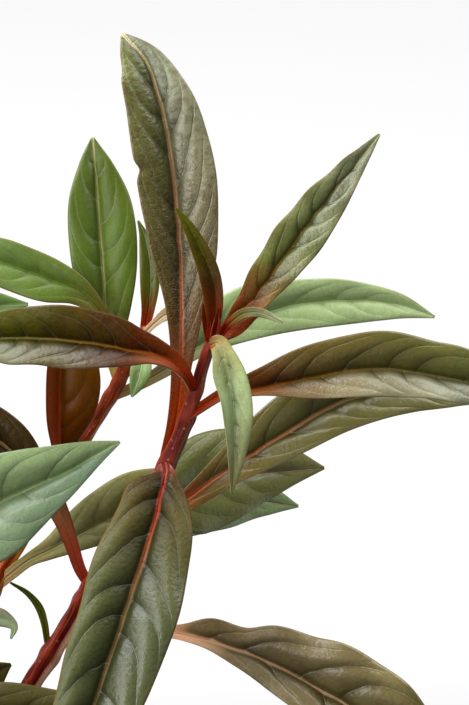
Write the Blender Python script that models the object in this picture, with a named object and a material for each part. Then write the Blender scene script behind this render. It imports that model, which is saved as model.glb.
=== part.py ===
"""Potted ludwigia glandulosa: leaning red stems with spirally set bronze leaves in a round nursery pot.

Lengths in the tables are millimetres. The origin is the middle of the pot's base, +Z up.
"""

import math
from dataclasses import dataclass

import bmesh
import bpy
import numpy as np
from mathutils import Vector, noise

MM = 0.001

# The pot, turned from its outline.
POT_HEIGHT = 78.0
POT_BASE_RADIUS = 31.0
POT_RIM_RADIUS = 45.0
POT_WALL = 1.3
POT_FLOOR = 1.8
RIM_BAND = 11.0
RIM_STEP = 1.4
RIM_ROUND = 0.6
BASE_ROUND = 1.0
POT_SIDES = 40
DRAIN_HOLES = 4
DRAIN_RADIUS = 3.0
DRAIN_CIRCLE = 21.0
DRAIN_SIDES = 12

# The compost, a little below the rim.
SOIL_TOP = 69.5
SOIL_BUMP = 1.1
SOIL_BUMPS_PER_METRE = 90
SOIL_SIDES = 28
SOIL_RINGS = (0.985, 0.8, 0.6, 0.4, 0.2, 0.0)
SOIL_SHOULDER = POT_HEIGHT - RIM_BAND - 1.0
SOIL_CLEARANCE = 0.65

# The gap that every two pieces keep.
GAP = 0.3

# Leaves: how far apart the sections stand and how few and many there are, the blade, and the petiole.
SECTION_STEP = 8.0
FEWEST_SECTIONS = 6
MOST_SECTIONS = 11
BLADE_THICKNESS = 0.55
MIDRIB_KEEL = 0.35
EDGE_HALF_WIDTH = 0.2
TIP_THINNING = 0.45
PETIOLE_THICKNESS = 1.5
PETIOLE_HALF_WIDTH = 1.3
PETIOLE_FADE = 1.25
PETIOLE_SIDES = 0.3
PETIOLE_REACH = 0.5
MIDWAY = 0.55
MIDWAY_CROWN = 0.16
LONGEST_BASE = 0.4
BASE_TRIALS = 161
CLEAR_OF_STEM = 1.2 * GAP

# How far apart, as a share, two places are taken to find which way a line runs there.
SHORT_STEP = 0.01

# The angle, in degrees, past which two faces meet in a sharp edge.
SHARP_ANGLE = 40

STEM_SIDES = 8
STEM_SECTIONS = 16
STEM_LINE_POINTS = 120

# The shoot is set out as it is seen: right and up across the line of sight, and toward the viewer.
# Sights are taken from SIGHT_DISTANCE away, SIGHT_ELEVATION above the level, through SIGHT_CENTRE.
SIGHT_CENTRE = np.array([80.0, 44.0, 188.0])
SIGHT_ELEVATION = math.radians(25.0)
SIGHT_DISTANCE = 452.0
SIGHT_RIGHT = np.array([1.0, 0.0, 0.0])
SIGHT_UP = np.array([0.0, math.sin(SIGHT_ELEVATION), math.cos(SIGHT_ELEVATION)])
SIGHT_TOWARD = np.array([0.0, -math.cos(SIGHT_ELEVATION), math.sin(SIGHT_ELEVATION)])


def sight(right, up, toward):
    """The place, in millimetres, seen at right and up of the sight's centre and that much nearer."""
    shrink = 1.0 - toward / SIGHT_DISTANCE
    return SIGHT_CENTRE + SIGHT_TOWARD * toward + (SIGHT_RIGHT * right + SIGHT_UP * up) * shrink


def smooth_row(rows, share):
    """The row at a share of the way along a smooth curve through the rows' first three numbers."""
    knots = np.concatenate([[0.0], np.cumsum(np.linalg.norm(np.diff(rows[:, :3], axis=0), axis=1))])
    steps = np.diff(knots)
    rates = np.diff(rows, axis=0) / steps[:, None]
    inner = (rates[:-1] * steps[1:, None] + rates[1:] * steps[:-1, None]) / (steps[:-1] + steps[1:])[:, None]
    slopes = np.vstack([rates[:1], inner, rates[-1:]])
    place = share * knots[-1]
    i = int(np.clip(np.searchsorted(knots, place) - 1, 0, len(steps) - 1))
    t = (place - knots[i]) / steps[i]
    return (
        rows[i] * (1 + 2 * t) * (1 - t) ** 2
        + rows[i + 1] * t**2 * (3 - 2 * t)
        + slopes[i] * steps[i] * t * (1 - t) ** 2
        + slopes[i + 1] * steps[i] * t**2 * (t - 1)
    )


@dataclass
class Stem:
    """A stem: the rows of its middle line, each x, y, z and radius, from the compost to its tip."""

    name: str
    rows: np.ndarray
    colour: str

    def row(self, share):
        return smooth_row(self.rows, share)

    def line(self):
        return np.array([self.row(share) for share in np.linspace(0.0, 1.0, STEM_LINE_POINTS)])


@dataclass
class Leaf:
    """A leaf from its stem to its tip.

    Each row holds a place on the midrib as (ahead, aside, above) in the leaf's own view, then how far the
    blade reaches to its left and to its right there. The lifts, in degrees, fold each side up from that view.
    """

    name: str
    stem: str
    rows: list
    lifts: tuple
    colour: str
    place: object = sight

    def sections(self):
        """How many lengths the leaf is lofted in."""
        line = np.array(self.rows, float)[:, :3]
        length = np.linalg.norm(np.diff(line, axis=0), axis=1).sum()
        return int(np.clip(round(length / SECTION_STEP), FEWEST_SECTIONS, MOST_SECTIONS))

    def across(self, share):
        """Five places across the leaf: right edge, right middle, midrib, left middle, left edge."""
        rows = np.array(self.rows, float)
        row = smooth_row(rows, share)
        before, after = max(share - SHORT_STEP, 0.0), min(share + SHORT_STEP, 1.0)
        ahead = unit(smooth_row(rows, after)[:2] - smooth_row(rows, before)[:2])
        left = np.array([-ahead[1], ahead[0]])
        places = []
        for side, part in ((-1, 1.0), (-1, MIDWAY), (0, 0.0), (1, MIDWAY), (1, 1.0)):
            reach = max(row[3] if side > 0 else row[4], EDGE_HALF_WIDTH)
            lift = math.tan(math.radians(self.lifts[0] if side > 0 else self.lifts[1]))
            crown = MIDWAY_CROWN if part == MIDWAY else 0.0
            spot = row[:2] + left * side * reach * part
            places.append(self.place(spot[0], spot[1], row[2] + reach * (part * lift + crown)))
        return np.array(places)

    def section(self, share):
        """Eight corners of the closed section, round from the right edge over the top."""
        here = self.across(share)
        before, after = max(share - SHORT_STEP, 0.0), min(share + SHORT_STEP, 1.0)
        ahead = self.across(after)[2] - self.across(before)[2]
        left_up = unit(np.cross(ahead, here[4] - here[2]))
        right_up = unit(np.cross(here[0] - here[2], ahead))
        middle_up = unit(left_up + right_up)
        width = 0.5 * np.linalg.norm(here[4] - here[0])
        wider = (width - PETIOLE_HALF_WIDTH) / (PETIOLE_FADE * PETIOLE_HALF_WIDTH)
        stalk = float(np.clip(1.0 - wider, 0.0, 1.0)) if share < PETIOLE_REACH else 0.0
        taper = min(1.0, TIP_THINNING + width / (3 * BLADE_THICKNESS))
        half = 0.5 * BLADE_THICKNESS * taper * (1 - stalk) + PETIOLE_SIDES * PETIOLE_THICKNESS * stalk
        top = 0.5 * half * (1 - stalk) + 0.5 * PETIOLE_THICKNESS * stalk
        keel = (half + MIDRIB_KEEL * taper) * (1 - stalk) + 0.5 * PETIOLE_THICKNESS * stalk
        return [
            here[0],
            here[1] + right_up * half,
            here[2] + middle_up * top,
            here[3] + left_up * half,
            here[4],
            here[3] - left_up * half,
            here[2] - middle_up * keel,
            here[1] - right_up * half,
        ]

    def clear_share(self, stems):
        """The share at which the leaf comes clear of its stem."""
        line = stems[self.stem].line()
        clear = 0.0
        shares = np.linspace(0.0, LONGEST_BASE, BASE_TRIALS)
        for share in shares:
            corners = np.array(self.section(share))
            rim = np.vstack([corners, 0.5 * (corners + np.roll(corners, 1, axis=0))])
            apart = np.linalg.norm(rim[:, None, :] - line[None, :, :3], axis=2) - line[None, :, 3]
            if apart.min() < CLEAR_OF_STEM:
                clear = share + shares[1]
        return clear


def unit(vector):
    return vector / np.linalg.norm(vector)


def from_sight(rows):
    """Stem rows whose places are given as sights."""
    return [(*sight(right, up, toward), radius) for right, up, toward, radius in rows]


# The stems. What the view shows of the main and back stems is set out by sights, the rest from the pot.
STEM_FOOT = SOIL_TOP + SOIL_BUMP + 2 * GAP
STEMS = {
    "main_stem": Stem(
        "main_stem",
        np.array(
            [(13.0, 8.0, STEM_FOOT, 2.0), (21.0, 12.5, 94.0, 2.0)]
            + from_sight(
                [
                    (-45.0, -73.4, -6.0, 2.2),
                    (-40.6, -66.6, -5.5, 2.2),
                    (-35.3, -57.8, -5.0, 2.1),
                    (-30.9, -50.1, -4.0, 2.0),
                    (-24.1, -39.1, -3.0, 1.8),
                    (-15.8, -25.0, -2.0, 1.6),
                    (-12.4, -17.0, -1.5, 1.4),
                    (-9.3, -8.4, -1.0, 1.2),
                    (-6.4, -0.5, -0.5, 1.0),
                    (-4.6, 4.5, -0.2, 0.5),
                ]
            )
        ),
        "red",
    ),
    "back_stem": Stem(
        "back_stem",
        np.array(
            [(4.0, 27.0, STEM_FOOT, 2.0), (10.0, 34.0, 92.0, 2.0)]
            + from_sight(
                [
                    (-52.5, -51.0, -30.0, 1.9),
                    (-43.0, -35.0, -31.5, 1.8),
                    (-33.0, -19.0, -33.0, 1.7),
                    (-25.5, -6.5, -34.0, 1.5),
                    (-21.0, 3.0, -35.0, 1.2),
                    (-19.6, 6.0, -35.3, 0.6),
                ]
            )
        ),
        "orange",
    ),
    "left_stem": Stem(
        "left_stem",
        np.array(
            [
                (-12.0, 6.0, STEM_FOOT, 2.0),
                (-16.0, 9.5, 95.0, 2.0),
                (-18.5, 12.5, 125.0, 1.8),
                (-21.0, 16.0, 155.0, 1.5),
                (-24.0, 20.0, 188.0, 0.7),
            ]
        ),
        "red",
    ),
    "front_stem": Stem(
        "front_stem",
        np.array(
            [
                (-23.0, -13.0, STEM_FOOT, 1.9),
                (-31.0, -19.0, 95.0, 1.9),
                (-37.0, -23.0, 120.0, 1.7),
                (-43.0, -26.0, 145.0, 1.4),
                (-48.0, -28.0, 166.0, 0.7),
            ]
        ),
        "red",
    ),
    "side_stem": Stem(
        "side_stem",
        np.array(
            [
                (14.0, -17.0, STEM_FOOT, 1.7),
                (21.0, -26.0, 90.0, 1.6),
                (29.0, -34.0, 108.0, 1.3),
                (36.0, -40.0, 123.0, 0.6),
            ]
        ),
        "red",
    ),
}

# Leaves seen from the front, each set out by sights along its midrib.
SEEN_LEAVES = [
    Leaf(
        "leaf_front_hanging",
        "main_stem",
        [
            (-15.5, -24.5, 0.0, 1.0, 1.0),
            (-15.2, -26.5, 3.0, 2.2, 2.6),
            (-15.8, -29.5, 6.0, 4.9, 6.4),
            (-17.3, -36.2, 11.0, 8.2, 8.6),
            (-19.9, -44.8, 16.0, 10.3, 10.2),
            (-22.3, -52.0, 20.0, 11.3, 10.4),
            (-25.5, -61.7, 24.0, 11.4, 9.9),
            (-29.5, -73.4, 28.0, 10.5, 9.3),
            (-33.0, -84.0, 31.0, 8.8, 8.2),
            (-37.0, -95.0, 33.0, 5.6, 5.4),
            (-41.0, -105.0, 34.0, 0.3, 0.3),
        ],
        (25, 10),
        "bronze",
    ),
    Leaf(
        "leaf_tall",
        "main_stem",
        [
            (-15.5, -25.0, -2.0, 1.2, 1.2),
            (-14.7, -21.5, -4.0, 1.4, 1.4),
            (-13.6, -17.4, -5.4, 1.6, 1.6),
            (-12.5, -11.5, -6.9, 1.9, 1.8),
            (-11.9, -4.5, -8.0, 2.1, 2.2),
            (-11.6, 10.4, -10.0, 3.7, 5.2),
            (-12.0, 22.0, -11.5, 6.2, 8.2),
            (-12.9, 33.0, -12.5, 7.7, 9.3),
            (-14.2, 44.3, -13.5, 8.3, 9.1),
            (-16.6, 56.0, -14.5, 7.6, 7.0),
            (-19.5, 64.0, -15.5, 6.2, 4.1),
            (-22.6, 67.8, -16.0, 3.4, 2.0),
            (-24.8, 70.2, -16.5, 0.3, 0.3),
        ],
        (35, 15),
        "bronze",
    ),
    Leaf(
        "leaf_left",
        "main_stem",
        [
            (-9.1, -8.7, 0.5, 0.8, 0.8),
            (-10.8, -5.4, 2.4, 1.0, 1.2),
            (-13.5, -2.8, 3.0, 1.8, 1.8),
            (-18.0, -1.0, 3.2, 2.4, 3.2),
            (-23.6, 0.3, 3.0, 3.5, 5.6),
            (-29.1, 1.6, 2.4, 5.2, 6.9),
            (-35.0, 2.4, 1.6, 6.0, 7.7),
            (-42.0, 3.0, 0.5, 5.9, 7.3),
            (-51.6, 3.0, -1.0, 5.3, 5.9),
            (-57.0, 2.2, -2.0, 2.8, 3.2),
            (-61.0, 1.3, -2.8, 0.3, 0.3),
        ],
        (50, 8),
        "bronze",
    ),
    Leaf(
        "leaf_upper_right",
        "main_stem",
        [
            (-5.2, 0.5, -1.5, 1.0, 1.0),
            (-3.2, 3.4, -3.4, 1.2, 1.6),
            (-1.6, 5.4, -4.0, 1.3, 2.9),
            (2.5, 9.8, -4.6, 2.9, 3.3),
            (5.5, 13.5, -5.0, 3.9, 3.6),
            (10.0, 19.7, -5.6, 4.9, 4.9),
            (14.4, 25.9, -6.2, 5.1, 5.6),
            (21.0, 34.4, -7.0, 4.2, 4.4),
            (27.6, 42.4, -7.8, 2.3, 1.9),
            (31.9, 48.0, -8.3, 0.3, 0.3),
        ],
        (10, 35),
        "bronze",
    ),
    Leaf(
        "leaf_right",
        "main_stem",
        [
            (-10.4, -14.0, -0.5, 1.0, 1.0),
            (-6.5, -11.4, -1.0, 1.0, 1.1),
            (-3.5, -9.6, -1.6, 1.2, 1.2),
            (4.3, -8.0, -2.2, 3.9, 1.6),
            (15.7, -5.9, -3.0, 6.9, 4.2),
            (25.9, -4.0, -3.6, 8.0, 6.0),
            (33.0, -3.7, -4.2, 8.3, 6.0),
            (42.6, -5.0, -5.0, 7.8, 5.2),
            (51.4, -6.8, -6.0, 6.6, 4.6),
            (56.5, -8.8, -6.8, 3.8, 2.6),
            (61.0, -11.5, -7.5, 0.3, 0.3),
        ],
        (8, 45),
        "bronze",
    ),
    Leaf(
        "leaf_small_hanging",
        "main_stem",
        [
            (-5.4, 1.6, 0.6, 1.0, 1.0),
            (-3.6, 2.0, 3.5, 1.8, 1.9),
            (-2.4, -0.6, 5.8, 2.6, 2.6),
            (-1.6, -4.0, 7.2, 3.6, 3.2),
            (-0.8, -9.0, 8.4, 4.5, 2.7),
            (-0.4, -14.0, 9.0, 4.4, 2.1),
            (-0.2, -20.0, 9.4, 3.4, 1.5),
            (-0.3, -26.0, 9.2, 1.7, 0.9),
            (-0.6, -31.0, 8.8, 0.2, 0.2),
        ],
        (10, 50),
        "green",
    ),
    Leaf(
        "leaf_low_right",
        "main_stem",
        [
            (-26.8, -43.4, -3.4, 1.1, 1.1),
            (-22.5, -40.0, -4.6, 1.2, 1.2),
            (-18.5, -37.5, -5.5, 1.3, 1.3),
            (-10.4, -32.3, -7.5, 2.0, 2.6),
            (-1.0, -25.5, -9.5, 4.4, 3.8),
            (5.0, -21.8, -10.5, 6.2, 4.6),
            (14.0, -16.2, -11.6, 8.3, 5.9),
            (23.2, -11.1, -12.6, 8.6, 6.4),
            (31.0, -8.8, -13.5, 8.2, 6.2),
            (40.0, -7.6, -14.5, 6.8, 5.4),
            (48.5, -8.6, -15.4, 4.2, 3.6),
            (55.0, -11.0, -16.2, 0.3, 0.3),
        ],
        (5, 40),
        "bronze",
    ),
    Leaf(
        "leaf_broad_behind",
        "main_stem",
        [
            (-21.6, -33.9, -3.0, 1.2, 1.2),
            (-18.8, -32.8, -9.0, 1.8, 1.8),
            (-15.5, -31.8, -15.0, 5.0, 6.0),
            (-11.0, -30.4, -21.0, 8.6, 10.0),
            (-6.0, -29.0, -27.0, 11.2, 10.2),
            (-1.0, -28.0, -32.0, 11.4, 8.6),
            (5.6, -26.6, -38.0, 9.2, 6.6),
            (12.0, -26.0, -43.0, 5.8, 3.6),
            (19.7, -25.4, -49.0, 0.3, 0.3),
        ],
        (0, 5),
        "green",
    ),
    Leaf(
        "leaf_green_behind",
        "main_stem",
        [
            (-28.6, -46.4, -4.0, 1.1, 1.1),
            (-24.0, -42.6, -12.0, 1.5, 1.5),
            (-18.5, -39.4, -21.0, 2.5, 2.5),
            (-10.0, -36.0, -34.0, 3.6, 4.5),
            (-2.0, -33.6, -45.0, 5.6, 5.0),
            (6.0, -32.8, -53.0, 4.4, 3.4),
            (14.0, -33.8, -60.0, 0.3, 0.3),
        ],
        (5, 15),
        "green",
    ),
    Leaf(
        "leaf_inner",
        "main_stem",
        [
            (-5.4, 3.0, 1.3, 1.0, 1.0),
            (-4.6, 6.0, 1.0, 1.5, 1.3),
            (-4.2, 9.3, 0.5, 2.3, 1.6),
            (-5.2, 17.0, -0.8, 2.6, 2.1),
            (-7.6, 22.6, -1.6, 1.9, 2.0),
            (-10.2, 27.8, -2.2, 1.2, 1.2),
            (-12.9, 31.8, -2.6, 0.2, 0.2),
        ],
        (30, 30),
        "bronze",
    ),
    Leaf(
        "leaf_tiny",
        "main_stem",
        [
            (-3.4, 3.6, 0.8, 0.5, 0.5),
            (-1.2, 6.2, 0.6, 0.8, 0.8),
            (2.0, 8.6, 0.4, 1.0, 1.0),
            (5.0, 8.9, 0.2, 1.0, 1.0),
            (8.0, 7.9, 0.0, 0.8, 0.8),
            (10.6, 6.6, -0.2, 0.2, 0.2),
        ],
        (15, 15),
        "green",
    ),
    Leaf(
        "leaf_dark_left",
        "main_stem",
        [
            (-31.6, -51.6, -4.0, 1.0, 1.0),
            (-33.8, -48.0, -5.4, 1.2, 1.2),
            (-35.8, -42.4, -6.8, 1.4, 1.5),
            (-38.8, -35.0, -8.5, 2.0, 2.3),
            (-44.0, -27.0, -10.5, 4.4, 3.8),
            (-50.5, -20.6, -12.0, 6.6, 6.2),
            (-57.0, -16.5, -13.5, 6.8, 6.6),
            (-64.0, -13.0, -15.0, 4.6, 4.6),
            (-71.0, -10.5, -16.5, 0.3, 0.3),
        ],
        (15, 15),
        "bronze",
    ),
    Leaf(
        "leaf_thin_curved",
        "main_stem",
        [
            (-40.8, -66.4, -5.5, 0.5, 0.5),
            (-41.3, -62.6, -7.0, 0.6, 0.6),
            (-41.8, -59.5, -8.0, 0.7, 0.7),
            (-43.0, -56.0, -8.6, 0.8, 0.8),
            (-45.5, -53.0, -9.0, 0.6, 0.6),
            (-49.3, -50.6, -9.4, 0.2, 0.2),
        ],
        (15, 15),
        "green",
    ),
    Leaf(
        "leaf_lower_right",
        "main_stem",
        [
            (-33.8, -54.8, -4.4, 1.0, 1.0),
            (-30.0, -56.5, -4.8, 1.1, 1.1),
            (-25.0, -58.5, -5.0, 1.2, 1.2),
            (-13.1, -61.7, -4.0, 1.8, 1.2),
            (-6.0, -63.2, -3.0, 4.0, 2.0),
            (1.2, -65.6, -1.5, 6.3, 3.6),
            (8.0, -68.4, 0.0, 8.6, 5.2),
            (14.5, -72.0, 1.5, 10.4, 6.2),
            (24.4, -77.6, 3.5, 11.2, 7.4),
            (34.0, -84.0, 5.0, 9.6, 6.8),
            (44.0, -92.0, 6.0, 5.8, 4.4),
            (52.0, -99.0, 6.5, 0.3, 0.3),
        ],
        (12, 40),
        "bronze",
    ),
    Leaf(
        "back_leaf_tall",
        "back_stem",
        [
            (-25.5, -6.5, -34.0, 1.1, 1.1),
            (-26.5, -2.0, -38.0, 1.6, 1.6),
            (-28.4, 10.0, -41.5, 4.8, 5.8),
            (-29.1, 20.4, -44.0, 6.8, 7.8),
            (-29.7, 28.0, -46.0, 7.0, 7.9),
            (-30.2, 35.0, -48.0, 6.0, 6.8),
            (-30.8, 42.0, -50.0, 3.4, 3.6),
            (-31.2, 47.3, -52.0, 0.3, 0.3),
        ],
        (20, 20),
        "green",
    ),
    Leaf(
        "back_leaf_left",
        "back_stem",
        [
            (-24.0, -3.5, -34.0, 1.0, 1.0),
            (-27.0, 3.0, -33.0, 1.2, 1.2),
            (-29.5, 9.0, -33.5, 1.6, 1.4),
            (-34.0, 13.3, -34.5, 3.2, 2.8),
            (-40.6, 16.4, -36.0, 5.6, 4.4),
            (-47.2, 18.8, -37.0, 5.8, 4.8),
            (-54.0, 21.0, -38.0, 5.2, 4.6),
            (-62.0, 22.6, -39.0, 3.2, 3.0),
            (-69.0, 23.2, -40.0, 0.3, 0.3),
        ],
        (35, 10),
        "green",
    ),
    Leaf(
        "back_leaf_small",
        "back_stem",
        [
            (-19.9, 4.5, -35.6, 0.9, 0.9),
            (-19.0, 9.5, -37.0, 1.4, 1.4),
            (-18.6, 15.0, -38.0, 2.1, 2.1),
            (-19.0, 21.5, -39.0, 2.0, 2.0),
            (-20.0, 26.0, -40.0, 1.0, 1.0),
            (-21.2, 29.0, -40.5, 0.2, 0.2),
        ],
        (20, 20),
        "bronze",
    ),
    Leaf(
        "back_leaf_short",
        "back_stem",
        [
            (-20.4, 3.6, -35.0, 0.7, 0.7),
            (-17.4, 6.6, -33.6, 0.8, 0.8),
            (-15.0, 8.4, -32.8, 1.4, 1.4),
            (-12.5, 9.2, -32.4, 2.2, 2.2),
            (-9.4, 9.6, -32.0, 0.3, 0.3),
        ],
        (15, 15),
        "bronze",
    ),
    Leaf(
        "back_leaf_hanging",
        "back_stem",
        [
            (-20.8, 2.4, -34.0, 0.8, 0.8),
            (-20.2, -0.5, -31.0, 1.4, 1.4),
            (-20.8, -4.0, -29.0, 2.4, 2.2),
            (-21.6, -7.0, -28.0, 1.8, 1.6),
            (-22.6, -9.8, -27.5, 0.2, 0.2),
        ],
        (15, 15),
        "green",
    ),
    Leaf(
        "back_leaf_right",
        "back_stem",
        [
            (-27.0, -9.8, -34.0, 1.0, 1.0),
            (-22.0, -7.6, -37.0, 1.2, 1.2),
            (-16.0, -4.2, -39.5, 1.6, 1.6),
            (-7.7, 1.6, -41.5, 5.0, 2.6),
            (2.3, 7.0, -43.5, 7.3, 4.6),
            (14.4, 10.8, -45.5, 5.4, 5.9),
            (25.4, 11.6, -47.0, 4.2, 5.4),
            (36.4, 10.5, -49.0, 2.4, 3.2),
            (44.0, 7.8, -50.0, 0.3, 0.3),
        ],
        (10, 30),
        "green",
    ),
    Leaf(
        "back_leaf_brown",
        "back_stem",
        [
            (-38.2, -27.4, -31.0, 1.0, 1.1),
            (-38.4, -22.0, -27.4, 1.6, 3.0),
            (-38.6, -16.0, -26.0, 2.6, 6.5),
            (-38.5, -10.0, -25.5, 3.0, 8.6),
            (-38.3, -4.0, -25.5, 3.0, 8.8),
            (-37.8, 2.0, -26.0, 2.4, 6.5),
            (-37.0, 7.0, -26.5, 0.3, 0.3),
        ],
        (50, 5),
        "bronze",
    ),
    Leaf(
        "back_leaf_olive",
        "back_stem",
        [
            (-53.8, -52.4, -30.0, 1.2, 1.2),
            (-49.0, -48.5, -29.0, 1.3, 1.3),
            (-45.0, -45.5, -28.5, 1.4, 1.4),
            (-41.0, -43.6, -28.5, 2.4, 2.0),
            (-36.0, -41.0, -28.5, 4.4, 3.2),
            (-28.5, -37.0, -28.0, 6.8, 5.0),
            (-22.0, -33.5, -28.5, 7.2, 4.8),
            (-16.0, -30.4, -30.5, 5.4, 3.2),
            (-11.0, -28.0, -33.0, 2.8, 1.8),
            (-7.5, -26.4, -35.0, 0.3, 0.3),
        ],
        (8, 12),
        "green",
    ),
    Leaf(
        "left_leaf_broad",
        "left_stem",
        [
            (-99.5, -61.5, 5.0, 1.2, 1.2),
            (-92.0, -56.5, 5.5, 1.6, 1.6),
            (-84.5, -51.5, 5.5, 4.0, 4.5),
            (-75.0, -46.0, 5.0, 7.5, 8.5),
            (-65.0, -40.2, 4.5, 9.8, 11.0),
            (-51.6, -32.9, 3.5, 10.4, 11.2),
            (-45.0, -29.8, 3.0, 9.0, 8.6),
            (-38.4, -27.0, 2.5, 7.0, 5.4),
            (-30.2, -22.4, 2.0, 3.3, 2.1),
            (-25.2, -19.7, 1.7, 0.3, 0.3),
        ],
        (10, 25),
        "teal",
    ),
    Leaf(
        "left_leaf_upper",
        "left_stem",
        [
            (-108.0, -18.0, 18.8, 1.1, 1.1),
            (-102.0, -13.0, 15.0, 1.6, 1.6),
            (-90.0, -5.0, 8.0, 4.2, 4.2),
            (-76.0, 2.5, 1.0, 5.4, 5.2),
            (-63.0, 7.5, -4.5, 4.8, 4.4),
            (-53.0, 10.2, -8.0, 3.2, 2.8),
            (-45.4, 10.6, -9.8, 0.3, 0.3),
        ],
        (5, 15),
        "teal",
    ),
    Leaf(
        "left_leaf_curled",
        "left_stem",
        [
            (-98.0, -74.0, 1.0, 1.0, 1.0),
            (-90.0, -71.5, 3.0, 1.6, 1.6),
            (-78.0, -68.0, 5.0, 4.5, 4.0),
            (-66.0, -63.5, 6.5, 5.0, 4.6),
            (-57.0, -60.0, 7.5, 3.8, 3.4),
            (-51.0, -58.6, 8.2, 2.0, 1.8),
            (-48.5, -60.5, 8.6, 0.9, 0.9),
            (-49.2, -63.0, 9.0, 0.2, 0.2),
        ],
        (15, 15),
        "green",
    ),
    Leaf(
        "left_leaf_tip",
        "left_stem",
        [
            (-97.5, -84.0, 0.0, 1.0, 1.0),
            (-88.0, -81.0, -5.0, 2.4, 2.4),
            (-75.0, -77.5, -10.0, 5.0, 4.6),
            (-62.0, -74.0, -14.0, 5.2, 4.8),
            (-53.5, -71.0, -16.5, 3.6, 3.4),
            (-49.2, -68.6, -18.0, 0.3, 0.3),
        ],
        (10, 10),
        "green",
    ),
    Leaf(
        "left_leaf_corner",
        "left_stem",
        [
            (-96.5, -90.0, -3.0, 1.2, 1.2),
            (-89.0, -86.5, 1.5, 2.0, 1.8),
            (-75.0, -82.0, 5.0, 6.0, 4.4),
            (-60.0, -80.2, 8.0, 7.4, 6.0),
            (-50.0, -79.8, 10.0, 7.2, 6.0),
            (-40.0, -80.0, 12.0, 6.0, 5.0),
            (-30.0, -80.0, 14.0, 3.6, 3.0),
            (-22.0, -79.6, 15.5, 0.3, 0.3),
        ],
        (5, 20),
        "bronze",
    ),
]

# The other leaves: share of the way up the stem, bearing, length, half width, rise, droop and sweep.
# Bearings run round from +X towards +Y, and droop is how far the leaf's middle stands above its chord.
GROWN_LEAVES = {
    "main_stem": [
        (0.1, 8, 55, 7.5, 4, 7.0, 4.0),
        (0.14, 245, 52, 7.0, -4, 7.0, -3.0),
        (0.22, 326, 62, 8.5, -10, 8.0, 5.0),
    ],
    "back_stem": [
        (0.12, 150, 60, 8.0, 2, 8.0, 4.0),
        (0.24, 118, 62, 8.5, 6, 9.0, -4.0),
        (0.36, 186, 50, 7.0, 8, 7.0, 3.0),
    ],
    "left_stem": [
        (0.22, 264, 44, 6.0, -12, 7.0, 3.0),
        (0.46, 196, 74, 9.5, 4, 10.0, -5.0),
        (0.58, 128, 70, 9.0, 12, 10.0, 4.0),
        (0.72, 206, 58, 8.0, 22, 8.0, 3.0),
        (0.82, 152, 48, 6.5, 38, 6.0, -3.0),
        (0.92, 262, 32, 4.5, 50, 4.0, 2.0),
        (1.0, 330, 24, 3.2, 66, 2.5, 1.0),
    ],
    "front_stem": [
        (0.14, 210, 56, 7.5, -12, 8.0, 4.0),
        (0.28, 292, 60, 8.0, -6, 8.0, -4.0),
        (0.44, 172, 68, 9.0, 4, 9.0, 5.0),
        (0.58, 256, 62, 8.5, 12, 8.0, -4.0),
        (0.7, 12, 44, 6.0, 26, 6.0, 3.0),
        (0.82, 140, 42, 5.5, 38, 5.0, 2.0),
        (0.88, 250, 30, 3.8, 48, 3.0, 1.5),
        (1.0, 60, 20, 2.8, 68, 2.0, 1.0),
    ],
    "side_stem": [
        (0.3, 262, 44, 6.0, -10, 6.0, 3.0),
        (0.56, 12, 46, 6.5, 0, 6.0, -3.0),
        (0.8, 302, 36, 5.0, 22, 4.0, 2.0),
        (1.0, 130, 22, 3.2, 56, 2.5, 1.0),
    ],
}
GROWN_SHARES = (0.0, 0.1, 0.2, 0.32, 0.46, 0.6, 0.74, 0.88, 1.0)
GROWN_LIFTS = (22, 22)
BLADE_START = 0.1
BLADE_FULLNESS = (0.9, 1.05)
GROWN_STALK_HALF_WIDTH = 1.04


def blade_half_width(share):
    """How wide the blade is at a share of the leaf's length, as a part of its widest."""
    start, end = BLADE_FULLNESS
    part = max(0.0, (share - BLADE_START) / (1 - BLADE_START))
    widest = start / (start + end)
    return part**start * (1 - part) ** end / (widest**start * (1 - widest) ** end)


def grown_leaf(stem, count, share, bearing, length, half_width, rise, droop, sweep):
    """A leaf that leaves its stem on a bearing, rises, and arches over."""
    turn, climb = math.radians(bearing), math.radians(rise)
    level = np.array([math.cos(turn), math.sin(turn), 0.0])
    ahead = level * math.cos(climb) + np.array([0.0, 0.0, math.sin(climb)])
    aside = np.array([-math.sin(turn), math.cos(turn), 0.0])
    above = np.cross(ahead, aside)
    foot = stem.row(share)[:3]

    def place(along, across, over):
        return foot + ahead * along + aside * across + above * over

    rows = []
    for part in GROWN_SHARES:
        reach = half_width * blade_half_width(part) + GROWN_STALK_HALF_WIDTH * (1 - part)
        rows.append((length * part, sweep * part**2, droop * 4 * part * (1 - part), reach, reach))
    kind = stem.name.replace("stem", "leaf")
    return Leaf(f"{kind}_{count}", stem.name, rows, GROWN_LIFTS, "bronze", place)


def material(name, colour, roughness):
    """A plain shiny or dull surface."""
    made = bpy.data.materials.new(name)
    made.use_nodes = True
    surface = made.node_tree.nodes["Principled BSDF"]
    surface.inputs["Base Color"].default_value = (*colour, 1.0)
    surface.inputs["Roughness"].default_value = roughness
    surface.inputs["Metallic"].default_value = 0.0
    return made


def add_object(name, shape, surface):
    """Puts the bmesh in the scene as one named object, with its faces pointing out."""
    bmesh.ops.recalc_face_normals(shape, faces=shape.faces)
    mesh = bpy.data.meshes.new(name)
    shape.to_mesh(mesh)
    shape.free()
    mesh.shade_smooth()
    mesh.set_sharp_from_angle(angle=math.radians(SHARP_ANGLE))
    mesh.materials.append(surface)
    made = bpy.data.objects.new(name, mesh)
    bpy.context.scene.collection.objects.link(made)
    return made


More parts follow.
